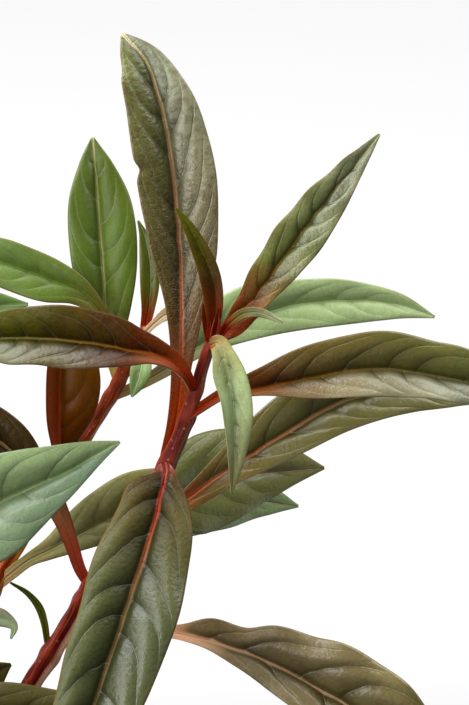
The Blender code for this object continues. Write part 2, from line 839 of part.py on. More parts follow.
def loft(name, sections, surface):
    """One closed body through a row of sections, each with the same number of corners."""
    shape = bmesh.new()
    loop = [shape.verts.new(Vector(place) * MM) for place in sections[0]]
    face = shape.faces.new(loop)
    for step, section in enumerate(sections[1:]):
        grown = bmesh.ops.extrude_face_region(shape, geom=[face])["geom"]
        if step > 0:
            bmesh.ops.delete(shape, geom=[face], context="FACES_ONLY")
        face = next(part for part in grown if isinstance(part, bmesh.types.BMFace))
        twins = {tuple(vert.co): vert for vert in face.verts}
        loop = [twins[tuple(vert.co)] for vert in loop]
        for vert, place in zip(loop, section):
            vert.co = Vector(place) * MM
    return add_object(name, shape, surface)


def build_stem(stem, surface):
    """A stem as a tapering rod, thickest at the compost."""
    sections = []
    for share in np.linspace(0.0, 1.0, STEM_SECTIONS):
        row = stem.row(share)
        before, after = max(share - SHORT_STEP, 0.0), min(share + SHORT_STEP, 1.0)
        ahead = unit(stem.row(after)[:3] - stem.row(before)[:3])
        aside = unit(np.cross(ahead, SIGHT_TOWARD))
        over = np.cross(aside, ahead)
        angles = [2 * math.pi * i / STEM_SIDES for i in range(STEM_SIDES)]
        sections.append([row[:3] + row[3] * (aside * math.cos(a) + over * math.sin(a)) for a in angles])
    return loft(stem.name, sections, surface)


def build_leaf(leaf, stems, surface):
    """A leaf as a thin folded blade with a keel, starting clear of its stem."""
    shares = np.linspace(leaf.clear_share(stems), 1.0, leaf.sections() + 1)
    return loft(leaf.name, [leaf.section(share) for share in shares], surface)


def turned(outline, steps):
    """A bmesh of the outline of (radius, height) points turned once about Z."""
    shape = bmesh.new()
    verts = [shape.verts.new((radius * MM, 0.0, height * MM)) for radius, height in outline]
    edges = [shape.edges.new(pair) for pair in zip(verts, verts[1:])]
    bmesh.ops.spin(
        shape,
        geom=verts + edges,
        cent=(0, 0, 0),
        axis=(0, 0, 1),
        angle=2 * math.pi,
        steps=steps,
        use_merge=True,
    )
    bmesh.ops.remove_doubles(shape, verts=shape.verts, dist=1e-6)
    return shape


def pot_radius(height):
    """The outside of the pot's wall below its rim band."""
    return POT_BASE_RADIUS + (POT_RIM_RADIUS - RIM_STEP - POT_BASE_RADIUS) * height / POT_HEIGHT


def build_pot(surface):
    """The pot: a tapered wall, a stepped band at the rim, and a flat base with drain holes."""
    band = POT_HEIGHT - RIM_BAND
    outline = [
        (0.0, 0.0),
        (POT_BASE_RADIUS - BASE_ROUND, 0.0),
        (POT_BASE_RADIUS, BASE_ROUND),
        (pot_radius(band), band),
        (pot_radius(band) + RIM_STEP, band + RIM_ROUND),
        (POT_RIM_RADIUS, POT_HEIGHT - RIM_ROUND),
        (POT_RIM_RADIUS - RIM_ROUND, POT_HEIGHT),
        (POT_RIM_RADIUS - POT_WALL - RIM_STEP, POT_HEIGHT),
        (pot_radius(band) - POT_WALL, band),
        (pot_radius(POT_FLOOR) - POT_WALL, POT_FLOOR),
        (0.0, POT_FLOOR),
    ]
    pot = add_object("pot", turned(outline, POT_SIDES), surface)
    for i in range(DRAIN_HOLES):
        angle = math.pi / DRAIN_HOLES + 2 * math.pi * i / DRAIN_HOLES
        drill = bmesh.new()
        bmesh.ops.create_cone(
            drill,
            cap_ends=True,
            segments=DRAIN_SIDES,
            radius1=DRAIN_RADIUS * MM,
            radius2=DRAIN_RADIUS * MM,
            depth=3 * POT_FLOOR * MM,
        )
        cutter = add_object(f"drain_{i}", drill, surface)
        cutter.location = (DRAIN_CIRCLE * MM * math.cos(angle), DRAIN_CIRCLE * MM * math.sin(angle), 0.0)
        cutter.hide_render = True
        cutter.display_type = "WIRE"
        cut = pot.modifiers.new("Drain hole", "BOOLEAN")
        cut.operation = "DIFFERENCE"
        cut.solver = "EXACT"
        cut.object = cutter
    return pot


def build_soil(surface):
    """The compost that fills the pot, with an uneven top."""
    low = POT_FLOOR + GAP
    edge = [(pot_radius(z) - POT_WALL - SOIL_CLEARANCE, z) for z in (low, SOIL_SHOULDER)]
    top = edge[1][0]
    outline = [(0.0, low)] + edge + [(top * part, SOIL_TOP) for part in SOIL_RINGS]
    shape = turned(outline, SOIL_SIDES)
    for vert in shape.verts:
        if vert.co.z > 0.5 * (SOIL_SHOULDER + SOIL_TOP) * MM:
            vert.co.z += SOIL_BUMP * MM * noise.noise(vert.co * SOIL_BUMPS_PER_METRE)
    return add_object("soil", shape, surface)


def main():
    for old in list(bpy.data.objects):
        bpy.data.objects.remove(old, do_unlink=True)
    leaf_colours = {
        "bronze": material("Bronze leaf", (0.10, 0.085, 0.045), 0.45),
        "green": material("Green leaf", (0.12, 0.19, 0.06), 0.5),
        "teal": material("Pale leaf", (0.22, 0.33, 0.24), 0.45),
    }
    stem_colours = {
        "red": material("Red stem", (0.23, 0.02, 0.02), 0.4),
        "orange": material("Orange stem", (0.33, 0.09, 0.03), 0.45),
    }
    build_pot(material("Dark pot", (0.025, 0.025, 0.027), 0.5))
    build_soil(material("Compost", (0.05, 0.03, 0.018), 0.95))
    for stem in STEMS.values():
        build_stem(stem, stem_colours[stem.colour])
    leaves = list(SEEN_LEAVES)
    for name, rows in GROWN_LEAVES.items():
        leaves += [grown_leaf(STEMS[name], i + 1, *row) for i, row in enumerate(rows)]
    for leaf in leaves:
        build_leaf(leaf, STEMS, leaf_colours[leaf.colour])


main()
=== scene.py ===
"""Looks of a potted ludwigia glandulosa: quilted leaves, ridged stems, compost and pot on its frame.

The tables of leaves and stems are in millimetres and the meshes in metres. A leaf's rows run from its
stem to its tip: a place on the midrib, then how far the blade reaches to its left and to its right.
"""

from __future__ import annotations

import logging
import math
from collections.abc import Callable
from dataclasses import dataclass, field, replace
from enum import Enum

import bmesh
import bpy
import numpy as np
from mathutils import Matrix, Vector, noise

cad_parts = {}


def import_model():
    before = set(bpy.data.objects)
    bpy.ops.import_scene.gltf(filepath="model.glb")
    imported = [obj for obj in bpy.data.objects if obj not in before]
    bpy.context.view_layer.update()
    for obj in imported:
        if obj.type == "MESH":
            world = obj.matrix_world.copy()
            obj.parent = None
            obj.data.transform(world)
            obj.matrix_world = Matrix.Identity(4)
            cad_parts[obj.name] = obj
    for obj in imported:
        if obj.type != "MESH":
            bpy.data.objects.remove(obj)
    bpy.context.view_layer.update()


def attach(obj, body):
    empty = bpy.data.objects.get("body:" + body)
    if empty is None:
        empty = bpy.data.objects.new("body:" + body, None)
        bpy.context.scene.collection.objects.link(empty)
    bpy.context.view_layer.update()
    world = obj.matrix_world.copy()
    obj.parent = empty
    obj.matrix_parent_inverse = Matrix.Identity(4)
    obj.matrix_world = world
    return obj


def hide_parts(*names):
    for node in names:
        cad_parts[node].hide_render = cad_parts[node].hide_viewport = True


MM = 0.001
BODY = "root"
log = logging.getLogger("ludwigia")

Row = tuple[float, ...]
Place = Callable[[np.ndarray], np.ndarray]
Socket = bpy.types.NodeSocket

# The photographed view: its height in pixels, and how much of the shoot one pixel covers.
FRAME_HEIGHT = 705
MM_PER_PIXEL = 0.22
SENSOR = 36.0
SIGHT_CENTRE = np.array([80.0, 44.0, 188.0])
SIGHT_ELEVATION = math.radians(25.0)
SIGHT_DISTANCE = 452.0
SIGHT_RIGHT = np.array([1.0, 0.0, 0.0])
SIGHT_UP = np.array([0.0, math.sin(SIGHT_ELEVATION), math.cos(SIGHT_ELEVATION)])
SIGHT_TOWARD = np.array([0.0, -math.cos(SIGHT_ELEVATION), math.sin(SIGHT_ELEVATION)])

# Short steps along and across a piece, for reading directions.
SHORT_STEP = 0.004
SIDE_STEP = 0.02

# Tints that lie over the tones of leaves and stems.
MOTTLE_TINT = "#b8b0a0"
# Painted shade in the dips along the veins and just beside a leaf's midrib.
HOLLOW_SHADE_TINT = "#7c7458"
# Painted shade beside a leaf's midrib, fading towards its edges.
RIB_SIDE_SHADE_TINT = "#68704c"
RIB_SHADE = "#4c1408"
SCAR_TINT = "#5c4020"
DULL_TINT, WHITE = "#2c2420", "#ffffff"
# Darkens a stem's dark streaks, and as painted shade its furrows between the ridges.
FURROW_SHADE_AND_STREAK_TINT = "#684038"
# Painted highlights along a stem's pale streaks.
STREAK_HIGHLIGHT_TINT = "#dc9880"
DOT_TINT = "#c87c5c"
JOINT_TINT = "#a03c24"

# The palette, and where a row of two or four of its names changes tone.
TONE_STOPS = {2: (0.1, 0.9), 4: (0.0, 0.16, 0.42, 0.95)}
TONES = {
    "wine": "#580800", "maroon": "#701000", "claret": "#881808", "crimson": "#a02008", "scarlet": "#b82800",
    "ember": "#b04008", "rust": "#984018", "brick": "#b04830", "coral": "#d05838", "flame": "#d86028",
    "soot": "#401800", "cocoa": "#402808", "umber": "#583000", "mahogany": "#682008", "chestnut": "#783000",
    "copper": "#884008", "bronze": "#704800", "bark": "#583810", "peat": "#605018", "hazel": "#785830",
    "drab": "#585028", "taupe": "#887850", "tan": "#a08050", "ochre": "#987020", "amber": "#c87830",
    "clay": "#c06040", "salmon": "#d08860", "apricot": "#e0a078", "blush": "#f8b898", "peach": "#f0c8a0",
    "cream": "#e8d8a8", "straw": "#d0c088", "sand": "#b0a068", "bog": "#383000", "moss": "#404008",
    "pine": "#505808", "ivy": "#485810", "fern": "#587020", "olive": "#706828", "brass": "#807830",
    "khaki": "#707838", "loden": "#586038", "verdigris": "#607850", "sage": "#788060", "lichen": "#888850",
    "silver": "#98a080", "mist": "#b0b890", "celery": "#a0a068", "grass": "#889828", "leaf": "#789850",
    "teal": "#789070", "jade": "#98b078", "lime": "#a8c080", "mint": "#c0d898", "frost": "#c8d0a0",
}


def sight(places: np.ndarray) -> np.ndarray:
    """Turns (right, up, toward) as seen in the photographed view into places in the pot's frame.

    Args:
        places: One row of three millimetre values for each point.

    Returns:
        The same points as x, y and z in millimetres.
    """
    shrink = 1.0 - places[:, 2:3] / SIGHT_DISTANCE
    flat = places[:, 0:1] * SIGHT_RIGHT + places[:, 1:2] * SIGHT_UP
    return SIGHT_CENTRE + SIGHT_TOWARD * places[:, 2:3] + flat * shrink


def smooth_rows(rows: np.ndarray, shares: np.ndarray) -> np.ndarray:
    """Reads rows along a smooth curve through the given ones.

    Args:
        rows: The rows to pass through; the first three numbers of each are a place.
        shares: How far along to read, each from 0 to 1.

    Returns:
        One row for each share.
    """
    knots = np.concatenate([[0.0], np.cumsum(np.linalg.norm(np.diff(rows[:, :3], axis=0), axis=1))])
    steps = np.diff(knots)
    rates = np.diff(rows, axis=0) / steps[:, None]
    both = (steps[:-1] + steps[1:])[:, None]
    inner = (rates[:-1] * steps[1:, None] + rates[1:] * steps[:-1, None]) / both
    slopes = np.vstack([rates[:1], inner, rates[-1:]])
    place = np.clip(shares, 0.0, 1.0) * knots[-1]
    i = np.clip(np.searchsorted(knots, place) - 1, 0, len(steps) - 1)
    t = ((place - knots[i]) / steps[i])[:, None]
    step = steps[i][:, None]
    return (
        rows[i] * (1 + 2 * t) * (1 - t) ** 2
        + rows[i + 1] * t**2 * (3 - 2 * t)
        + slopes[i] * step * t * (1 - t) ** 2
        + slopes[i + 1] * step * t**2 * (t - 1)
    )


def length_of(rows: np.ndarray) -> float:
    """The length in millimetres of the line through the rows' places."""
    return float(np.linalg.norm(np.diff(rows[:, :3], axis=0), axis=1).sum())


def unit_rows(rows: np.ndarray) -> np.ndarray:
    """Each row scaled to length 1."""
    return rows / np.maximum(np.linalg.norm(rows, axis=1, keepdims=True), 1e-9)


def ease(low: float, high: float, values: np.ndarray) -> np.ndarray:
    """A smooth rise from 0 at low to 1 at high."""
    part = np.clip((values - low) / (high - low), 0.0, 1.0)
    return part * part * (3 - 2 * part)


def hump(values: np.ndarray, width: float | np.ndarray) -> np.ndarray:
    """A smooth hump, 1 where the values are 0 and gone about two widths away."""
    return np.exp(-((values / width) ** 2))


def colour(code: str) -> tuple[float, ...]:
    """A hex colour such as #6d7d50 as the linear values that a shader takes."""
    parts = [int(code[i : i + 2], 16) / 255 for i in (1, 3, 5)]
    return (*(p / 12.92 if p <= 0.04045 else ((p + 0.055) / 1.055) ** 2.4 for p in parts), 1.0)


class Blend(Enum):
    """How a colour lies over another: covering it, or tinting it as a filter does."""

    COVER = "MIX"
    TINT = "MULTIPLY"


class Sheet:
    """A material's sheet of shader nodes, with short ways to add and link them."""

    def __init__(self, name: str) -> None:
        """Starts a material with a Principled surface.

        Args:
            name: The material's name.
        """
        self.material = bpy.data.materials.new(name)
        self.material.use_nodes = True
        self.tree = self.material.node_tree
        self.surface = self.tree.nodes["Principled BSDF"]

    def feed(self, socket: Socket, value: object) -> None:
        """Links an input to another node's socket, or sets its value.

        Args:
            socket: The input.
            value: The other node's socket, or the value.
        """
        if isinstance(value, Socket):
            self.tree.links.new(value, socket)
        else:
            socket.default_value = value

    def add(self, kind: str, inputs: dict[str | int, object], **settings: object) -> bpy.types.Node:
        """Adds a node.

        Args:
            kind: The node's type.
            inputs: A value or another node's socket for each input, by its name or number.
            settings: The node's own options.

        Returns:
            The node.
        """
        node = self.tree.nodes.new(kind)
        for option, value in settings.items():
            setattr(node, option, value)
        for key, value in inputs.items():
            self.feed(node.inputs[key], value)
        return node

    def finish(self, **inputs: object) -> bpy.types.Material:
        """Sets the surface's inputs.

        Args:
            inputs: A value or socket for each input, named with underscores for spaces.

        Returns:
            The material.
        """
        for key, value in inputs.items():
            self.feed(self.surface.inputs[key.replace("_", " ")], value)
        return self.material

    def mark(self, name: str) -> Socket:
        """A number that the mesh keeps for each point."""
        return self.add("ShaderNodeAttribute", {}, attribute_name=name).outputs["Fac"]

    def grain(self) -> Socket:
        """The place along and across the piece in millimetres, which patterns follow."""
        return self.add("ShaderNodeAttribute", {}, attribute_name="grain").outputs["Vector"]

    def spot(self) -> Socket:
        """The place on the object in metres."""
        return self.add("ShaderNodeTexCoord", {}).outputs["Object"]

    def sum(self, kind: str, *values: object) -> Socket:
        """One sum on numbers or sockets, such as ADD or MINIMUM."""
        return self.add("ShaderNodeMath", dict(enumerate(values)), operation=kind).outputs[0]

    def times(self, first: object, second: object) -> Socket:
        """The product of two numbers or sockets."""
        return self.sum("MULTIPLY", first, second)

    def scaled(self, value: object, factor: float, start: object) -> Socket:
        """The value times the factor, added to start."""
        return self.sum("MULTIPLY_ADD", value, factor, start)

    def rise(self, value: object, low: float, high: float) -> Socket:
        """A smooth rise from 0 at low to 1 at high."""
        inputs = {"Value": value, "From Min": low, "From Max": high}
        return self.add("ShaderNodeMapRange", inputs, interpolation_type="SMOOTHSTEP").outputs["Result"]

    def fall(self, value: object, low: float, high: float) -> Socket:
        """A smooth fall from 1 at low to 0 at high."""
        return self.sum("SUBTRACT", 1.0, self.rise(value, low, high))

    def mix(self, share: object, below: object, above: object, blend: Blend = Blend.COVER) -> Socket:
        """Lays one colour over another.

        Args:
            share: How strongly, from 0 to 1.
            below: The colour below, as a socket or a hex code.
            above: The colour above, the same way.
            blend: How it lies over the other.

        Returns:
            The mixed colour.
        """
        pair = [colour(one) if isinstance(one, str) else one for one in (below, above)]
        inputs = {0: share, 6: pair[0], 7: pair[1]}
        return self.add("ShaderNodeMix", inputs, data_type="RGBA", blend_type=blend.value).outputs[2]

    def layers(self, body: Socket, rows: list[tuple[object, float, object, Blend]]) -> Socket:
        """Lays colours over a body, one after the other.

        Args:
            body: The colour below them all.
            rows: For each layer where it shows, how strongly, its colour, and how it lies over the rest.

        Returns:
            The mixed colour.
        """
        for shown, amount, above, blend in rows:
            body = self.mix(self.times(shown, amount), body, above, blend)
        return body

    def cloud(self, place: object, scale: float, detail: float = 3.0) -> Socket:
        """Soft noise about 0.5, with scale features to each unit of the place."""
        inputs = {"Vector": place, "Scale": scale, "Detail": detail}
        return self.add("ShaderNodeTexNoise", inputs).outputs["Fac"]

    def net(self, place: object, scale: float) -> Socket:
        """How far a point lies from the nearest line of a net of cells, in cells."""
        inputs = {"Vector": place, "Scale": scale}
        return self.add("ShaderNodeTexVoronoi", inputs, feature="DISTANCE_TO_EDGE").outputs["Distance"]

    def tones(self, value: object, words: str) -> Socket:
        """A run of colours.

        Args:
            value: How far along the run to read, from 0 to 1.
            words: A row of names in TONES, spread over TONE_STOPS.

        Returns:
            The colour.
        """
        codes = [TONES[word] for word in words.split()]
        node = self.add("ShaderNodeValToRGB", {0: value})
        ramp = node.color_ramp.elements
        while len(ramp) < len(codes):
            ramp.new(1.0)
        for element, code, stop in zip(ramp, codes, TONE_STOPS[len(codes)]):
            element.position = stop
            element.color = colour(code)
        return node.outputs["Color"]

    def bump(self, height: object, depth: float, strength: float) -> Socket:
        """A bumped normal from a height between 0 and 1 and its depth in metres."""
        inputs = {"Height": height, "Distance": depth, "Strength": strength}
        return self.add("ShaderNodeBump", inputs).outputs[0]


@dataclass(frozen=True)
class LeafFinish:
    """How a leaf is coloured and how it shines.

    left, right and rib are rows of names in TONES from the leaf's base to its tip: for the halves to either
    side of the midrib, seen from above with the tip ahead, and for the midrib. trim names the tones of its
    veins, margin, flecks and under side. The shares say how strongly those and the rest show. groove is the
    dark line in the midrib; shade paints shade beside the midrib, and hollow paints shade in the dips along
    the veins and just beside the midrib. pucker and wrinkle are the relief of the whole and of its fine net.
    sheen is the silvery shine of the two halves.
    drift is how far a cloudy pattern shifts the tones along the leaf, and the scales are features to a
    millimetre.
    """

    name: str
    slot: str
    left: str
    right: str
    rib: str
    trim: str
    vein_share: float = 0.15
    fleck_share: float = 0.2
    mottle_share: float = 0.3
    net_share: float = 0.02
    rib_share: float = 0.92
    margin_share: float = 0.6
    under_share: float = 0.7
    groove: float = 0.5
    shade: float = 0.25
    hollow_shade: float = 1.0
    pucker: float = 0.4
    wrinkle: float = 0.3
    relief_depth: float = 0.00014
    drift: float = 0.3
    cloud_scale: float = 0.14
    speck_scale: float = 0.75
    mottle_scale: float = 2.2
    swell_scale: float = 0.33
    net_scale: float = 0.62
    fine_net_scale: float = 1.7
    rough: float = 0.11
    shine: float = 0.5
    sheen: tuple[float, float] = (1.0, 1.0)

    def material(self) -> bpy.types.Material:
        """Makes the shader.

        Returns:
            The material, with its colours, its relief and its sheen.
        """
        sheet = Sheet(self.name)
        along = sheet.mark("along")
        speck = sheet.cloud(sheet.grain(), self.speck_scale, 5.0)
        net = sheet.net(sheet.grain(), self.net_scale)
        vein = self.vein_lines(sheet)
        side = sheet.rise(sheet.mark("across"), -0.03, 0.03)
        sheen = sheet.scaled(side, self.sheen[0] - self.sheen[1], self.sheen[1])
        gloss = sheet.scaled(speck, 0.22, self.rough)
        height = self.heights(sheet, speck, net, vein)
        return sheet.finish(
            Base_Color=self.colours(sheet, side, speck, net, vein),
            Roughness=sheet.scaled(sheet.rise(along, 0.0, 0.2), 0.12, gloss),
            Normal=sheet.bump(height, self.relief_depth, self.pucker),
            Specular_IOR_Level=self.shine,
            Specular_Tint=sheet.mix(sheet.times(sheen, sheet.rise(along, 0.15, 0.5)), DULL_TINT, WHITE),
        )

    def colours(self, sheet: Sheet, side: Socket, speck: Socket, net: Socket, vein: Socket) -> Socket:
        """Lays the leaf's colours over each other.

        Args:
            sheet: The sheet to add to.
            side: 1 on the left half and 0 on the right.
            speck: Fine noise.
            net: How far off the lines of the net are.
            vein: The lines of the side veins.

        Returns:
            The colour.
        """
        grain, along = sheet.grain(), sheet.mark("along")
        cloud = sheet.cloud(grain, self.cloud_scale, 4.0)
        drift = sheet.scaled(cloud, self.drift, -0.5 * self.drift)
        shifted = sheet.sum("ADD", sheet.times(drift, sheet.rise(along, 0.05, 0.35)), along)
        flecks = sheet.rise(sheet.scaled(cloud, 0.6, speck), 0.7, 1.0)
        mottle = sheet.rise(sheet.cloud(grain, self.mottle_scale), 0.3, 0.75)
        # Painted shade beside the midrib, gone towards the edges.
        inner = sheet.fall(sheet.sum("ABSOLUTE", sheet.mark("across")), 0.02, 0.75)
        beside = sheet.add("ShaderNodeSeparateXYZ", {0: grain}).outputs["Y"]
        groove = sheet.times(sheet.fall(sheet.sum("ABSOLUTE", beside), 0.08, 0.3), self.groove)
        rib = sheet.mix(groove, sheet.tones(along, self.rib), RIB_SHADE)
        vein_tone, margin, fleck, under = (TONES[word] for word in self.trim.split())
        blade = sheet.mix(side, sheet.tones(shifted, self.right), sheet.tones(shifted, self.left))
        return sheet.layers(blade, [
            (flecks, self.fleck_share, fleck, Blend.COVER),
            (mottle, self.mottle_share, MOTTLE_TINT, Blend.TINT),
            # Painted shade in the dips along the veins and beside the midrib.
            (sheet.mark("hollow_shade"), self.hollow_shade, HOLLOW_SHADE_TINT, Blend.TINT),
            # Painted shade beside the midrib, fading outwards.
            (inner, self.shade, RIB_SIDE_SHADE_TINT, Blend.TINT),
            (sheet.fall(net, 0.0, 0.1), self.net_share, vein_tone, Blend.COVER),
            (vein, self.vein_share, vein_tone, Blend.COVER),
            (sheet.mark("rib"), self.rib_share, rib, Blend.COVER),
            (sheet.mark("margin"), self.margin_share, margin, Blend.COVER),
            (sheet.mark("under"), self.under_share, under, Blend.COVER),
            (sheet.mark("scar"), 1.0, SCAR_TINT, Blend.COVER),
        ])

    def heights(self, sheet: Sheet, speck: Socket, net: Socket, vein: Socket) -> Socket:
        """Adds up the fine relief, whose net is smoother towards the tip.

        Args:
            sheet: The sheet to add to.
            speck: Fine noise.
            net: How far off the lines of the net are.
            vein: The lines of the side veins.

        Returns:
            The height.
        """
        grain = sheet.grain()
        smoother = sheet.rise(sheet.mark("along"), 0.35, 0.75)
        wrinkle = sheet.scaled(smoother, -0.7 * self.wrinkle, self.wrinkle)
        height = sheet.times(sheet.rise(sheet.net(grain, self.fine_net_scale), 0.0, 0.4), wrinkle)
        swell = sheet.cloud(grain, self.swell_scale, 2.0)
        for part, amount in ((speck, 0.3), (sheet.rise(net, 0.0, 0.35), 0.6), (swell, 1.6), (vein, -1.2)):
            height = sheet.scaled(part, amount, height)
        return height

    def vein_lines(self, sheet: Sheet) -> Socket:
        """Draws fine lines where the mesh's count of veins passes a whole number.

        Args:
            sheet: The sheet to add to.

        Returns:
            1 on the lines and 0 between them.
        """
        part = sheet.sum("FRACT", sheet.mark("count"))
        nearest = sheet.sum("MINIMUM", part, sheet.sum("SUBTRACT", 1.0, part))
        away = sheet.times(nearest, sheet.mark("spacing"))
        return sheet.times(sheet.fall(away, 0.05, 0.24), sheet.mark("shown"))


class Detail(Enum):
    """How finely a leaf is meshed: quads along it and across it."""

    NEAR = (230, 48)
    MIDDLE = (150, 36)
    FAR = (90, 24)


@dataclass(frozen=True)
class Quilt:
    """The relief of a leaf, in millimetres.

    Veins leave the midrib every gap, sweep that many gaps forward before they meet the edge at a share turn
    of the half width, and the blade bulges between them. slant and bend shape their curve. The edge waves by
    wave over each wave_length. rib scales the midrib, which stands up by rib_top with a groove rib_groove
    deep, stands out below by keel, and thins towards the tip by a share thinning. vein_depths are how deep a
    vein lies in the upper and the lower side, and crease_shade_width is how wide the painted shade beside the
    midrib.
    """

    gap: float = 9.0
    sweep: float = 1.0
    slant: float = 0.5
    bend: float = 3.0
    bulge: float = 0.35
    wave: float = 0.3
    wave_length: float = 17.0
    rib: float = 1.0
    turn: float = 0.86
    rib_top: float = 0.26
    rib_groove: float = 0.16
    groove_width: float = 0.13
    keel: float = 0.8
    keel_width: float = 0.75
    thinning: float = 0.72
    vein_width: float = 0.24
    vein_depths: tuple[float, float] = (0.07, 0.09)
    crease_shade_width: float = 1.1
    margin_width: float = 0.3

    def veins(
        self, run: np.ndarray, across: np.ndarray, reach: np.ndarray, widest: float, seed: float
    ) -> tuple[np.ndarray, np.ndarray]:
        """Counts the side veins, with a little waver of their own on each leaf.

        Args:
            run: How far along the leaf each point lies, in millimetres.
            across: Where it lies across the leaf, from -1 to 1.
            reach: The blade's reach there.
            widest: The blade's widest reach.
            seed: The leaf's own number from 0 to 1.

        Returns:
            A count that passes a whole number at each vein, and the millimetres from vein to vein.
        """
        part = np.abs(across)
        turn = part / self.turn
        spread = (0.5 + 0.5 * reach / widest) * self.sweep
        sweep = self.slant * part + spread * turn**self.bend
        waver = 0.18 * np.sin(run / self.gap * 2.3 + seed * 40) + 0.012 * np.sin(run * 1.3 + part * 9)
        count = run / self.gap - sweep + waver + np.where(across > 0, seed, seed + 0.46)
        steep = self.slant + spread * self.bend / self.turn * turn ** (self.bend - 1)
        return count, 1 / np.hypot(1 / self.gap, steep / reach)


@dataclass(frozen=True)
class Scar:
    """A blemish at a share of the leaf's length and of its half width, with its size in millimetres."""

    along: float
    across: float
    size: float
    notch: float = 0.0


@dataclass
class Leaf:
    """A leaf: where it runs, how its halves fold up, its quilting and its finish.

    lifts are the degrees by which the left and right halves fold up, with a rounding in the fold and a
    crown along each half. crowding draws the mesh's quads together at the midrib.
    """

    name: str
    lifts: tuple[float, float]
    finish: LeafFinish
    rows: list[Row]
    quilt: Quilt = Quilt()
    detail: Detail = Detail.MIDDLE
    place: Place = sight
    scar: Scar | None = None
    thickness: float = 0.34
    fold_rounding: float = 0.02
    crown: float = 0.16
    least_reach: float = 0.14
    crowding: float = 1.3
    is_node: bool = True

    def table(self) -> np.ndarray:
        """The rows as an array."""
        return np.array(self.rows, float)

    def letters(self) -> int:
        """The sum of the name's letters, which gives each leaf irregularities of its own."""
        return sum(map(ord, self.name))

    def middle(self, share: np.ndarray, across: np.ndarray) -> tuple[np.ndarray, np.ndarray]:
        """The middle surface of the blade before its quilting.

        Args:
            share: How far along the leaf each point lies, from 0 to 1.
            across: Where it lies across the leaf, from -1 at the right edge to 1 at the left.

        Returns:
            The points in millimetres, and the blade's reach on each point's side.
        """
        table = self.table()
        rows = smooth_rows(table, share)
        step = smooth_rows(table, share + SHORT_STEP) - smooth_rows(table, share - SHORT_STEP)
        ahead = unit_rows(step[:, :2])
        left = np.stack([-ahead[:, 1], ahead[:, 0]], axis=1)
        reach = np.maximum(np.where(across > 0, rows[:, 3], rows[:, 4]), self.least_reach)
        if self.scar:
            near = hump(share - self.scar.along, self.scar.size / length_of(table))
            reach = reach - self.scar.notch * near * ease(0.0, 1.0, across * np.sign(self.scar.across))
        part = np.sqrt(across**2 + self.fold_rounding**2) - self.fold_rounding
        lift = np.tan(np.radians(np.where(across > 0, *self.lifts)))
        crown = self.crown * 4 * part * (1 - part)
        flat = rows[:, :2] + left * (across * reach)[:, None]
        return self.place(np.column_stack([flat, rows[:, 2] + reach * (part * lift + crown)])), reach

    def facing(self, share: np.ndarray, across: np.ndarray) -> np.ndarray:
        """Which way the upper side faces.

        Args:
            share: How far along the leaf each point lies.
            across: Where it lies across the leaf.

        Returns:
            A direction of length 1 for each point.
        """
        after = self.middle(np.minimum(share + SHORT_STEP, 1.0), across)[0]
        before = self.middle(np.maximum(share - SHORT_STEP, 0.0), across)[0]
        lefter = self.middle(share, np.minimum(across + SIDE_STEP, 1.0))[0]
        righter = self.middle(share, np.maximum(across - SIDE_STEP, -1.0))[0]
        return unit_rows(np.cross(after - before, lefter - righter))

    def relief(
        self, share: np.ndarray, across: np.ndarray, reach: np.ndarray
    ) -> tuple[np.ndarray, np.ndarray, dict[str, np.ndarray]]:
        """The heights and marks of the quilting.

        Args:
            share: How far along the leaf each point lies.
            across: Where it lies across the leaf.
            reach: The blade's reach there in millimetres.

        Returns:
            The offsets of the upper and lower sides in millimetres, and the marks that the finish reads.
        """
        quilt, table = self.quilt, self.table()
        run, widest = share * length_of(table), table[:, 3:].max()
        part, from_rib = np.abs(across), np.abs(across) * reach
        from_edge = (1 - part) * reach
        seed = self.letters() % 97 / 97
        blade = ease(0.16 * widest + 0.6, 0.5 * widest + 0.5, reach)
        stalk = (1 - ease(1.3, 3.4, reach)) * (1 - ease(0.5, 0.7, share))

        # The side veins, the pillows between them and the waved edge.
        count, spacing = quilt.veins(run, across, reach, widest, seed)
        fraction = count - np.floor(count)
        arch = np.sin(np.pi * fraction)
        inside = (1 - ease(0.82, 0.98, part)) * (1 - ease(0.9, 1.0, share))
        shown = blade * ease(0.7, 2.6, spacing) * inside
        room = ease(1.2, 5.5, spacing) * (1 - ease(0.8, 1.0, part)) * blade
        vein = hump(np.minimum(fraction, 1 - fraction) * spacing, quilt.vein_width) * shown
        side = np.where(across > 0, 0.0, 2.1)
        edge = np.sin(2 * np.pi * run / quilt.wave_length + side + seed * 6) * part**2.5 * blade
        body = quilt.bulge * arch**0.75 * ease(0.0, 0.2, part) * room + quilt.wave * edge
        half = 0.5 * self.thickness * (0.5 + 0.5 * ease(0.0, 1.2, from_edge + 0.3))

        # The midrib, raised above with a groove and rounded below, thinner towards the tip.
        thinner = 1 - quilt.thinning * share
        rib_side = (0.2 + 0.4 * thinner) * quilt.rib
        rib = 1 - ease(0.75 * rib_side, 1.25 * rib_side, from_rib)
        rail = quilt.rib_top * (1 - ease(0.55 * rib_side, 1.5 * rib_side, from_rib))
        rail = (rail - quilt.rib_groove * hump(from_rib, quilt.groove_width)) * thinner * quilt.rib
        keel = quilt.keel * hump(from_rib, quilt.keel_width) * thinner * quilt.rib * ease(0.3, 1.2, reach)
        belly = 0.45 * stalk * np.sqrt(np.clip(1 - part**2, 0, 1))

        upper = body + half + rail - quilt.vein_depths[0] * vein + stalk * (0.3 * part**2 - 0.05)
        lower = body - half - keel - quilt.vein_depths[1] * vein - belly
        # Painted shade, kept as a mark: beside the midrib and in the dips along the veins.
        crease = hump(np.maximum(from_rib - rib_side, 0.0), quilt.crease_shade_width) * blade * (1 - 0.6 * share)
        return upper, lower, {
            "count": count,
            "spacing": spacing,
            "shown": shown,
            "rib": np.maximum(rib, stalk),
            "margin": hump(from_edge, quilt.margin_width) * ease(0.8, 2.0, reach),
            "hollow_shade": np.clip(0.55 * crease + 0.5 * (1 - arch**0.6) * room, 0, 1),
        }

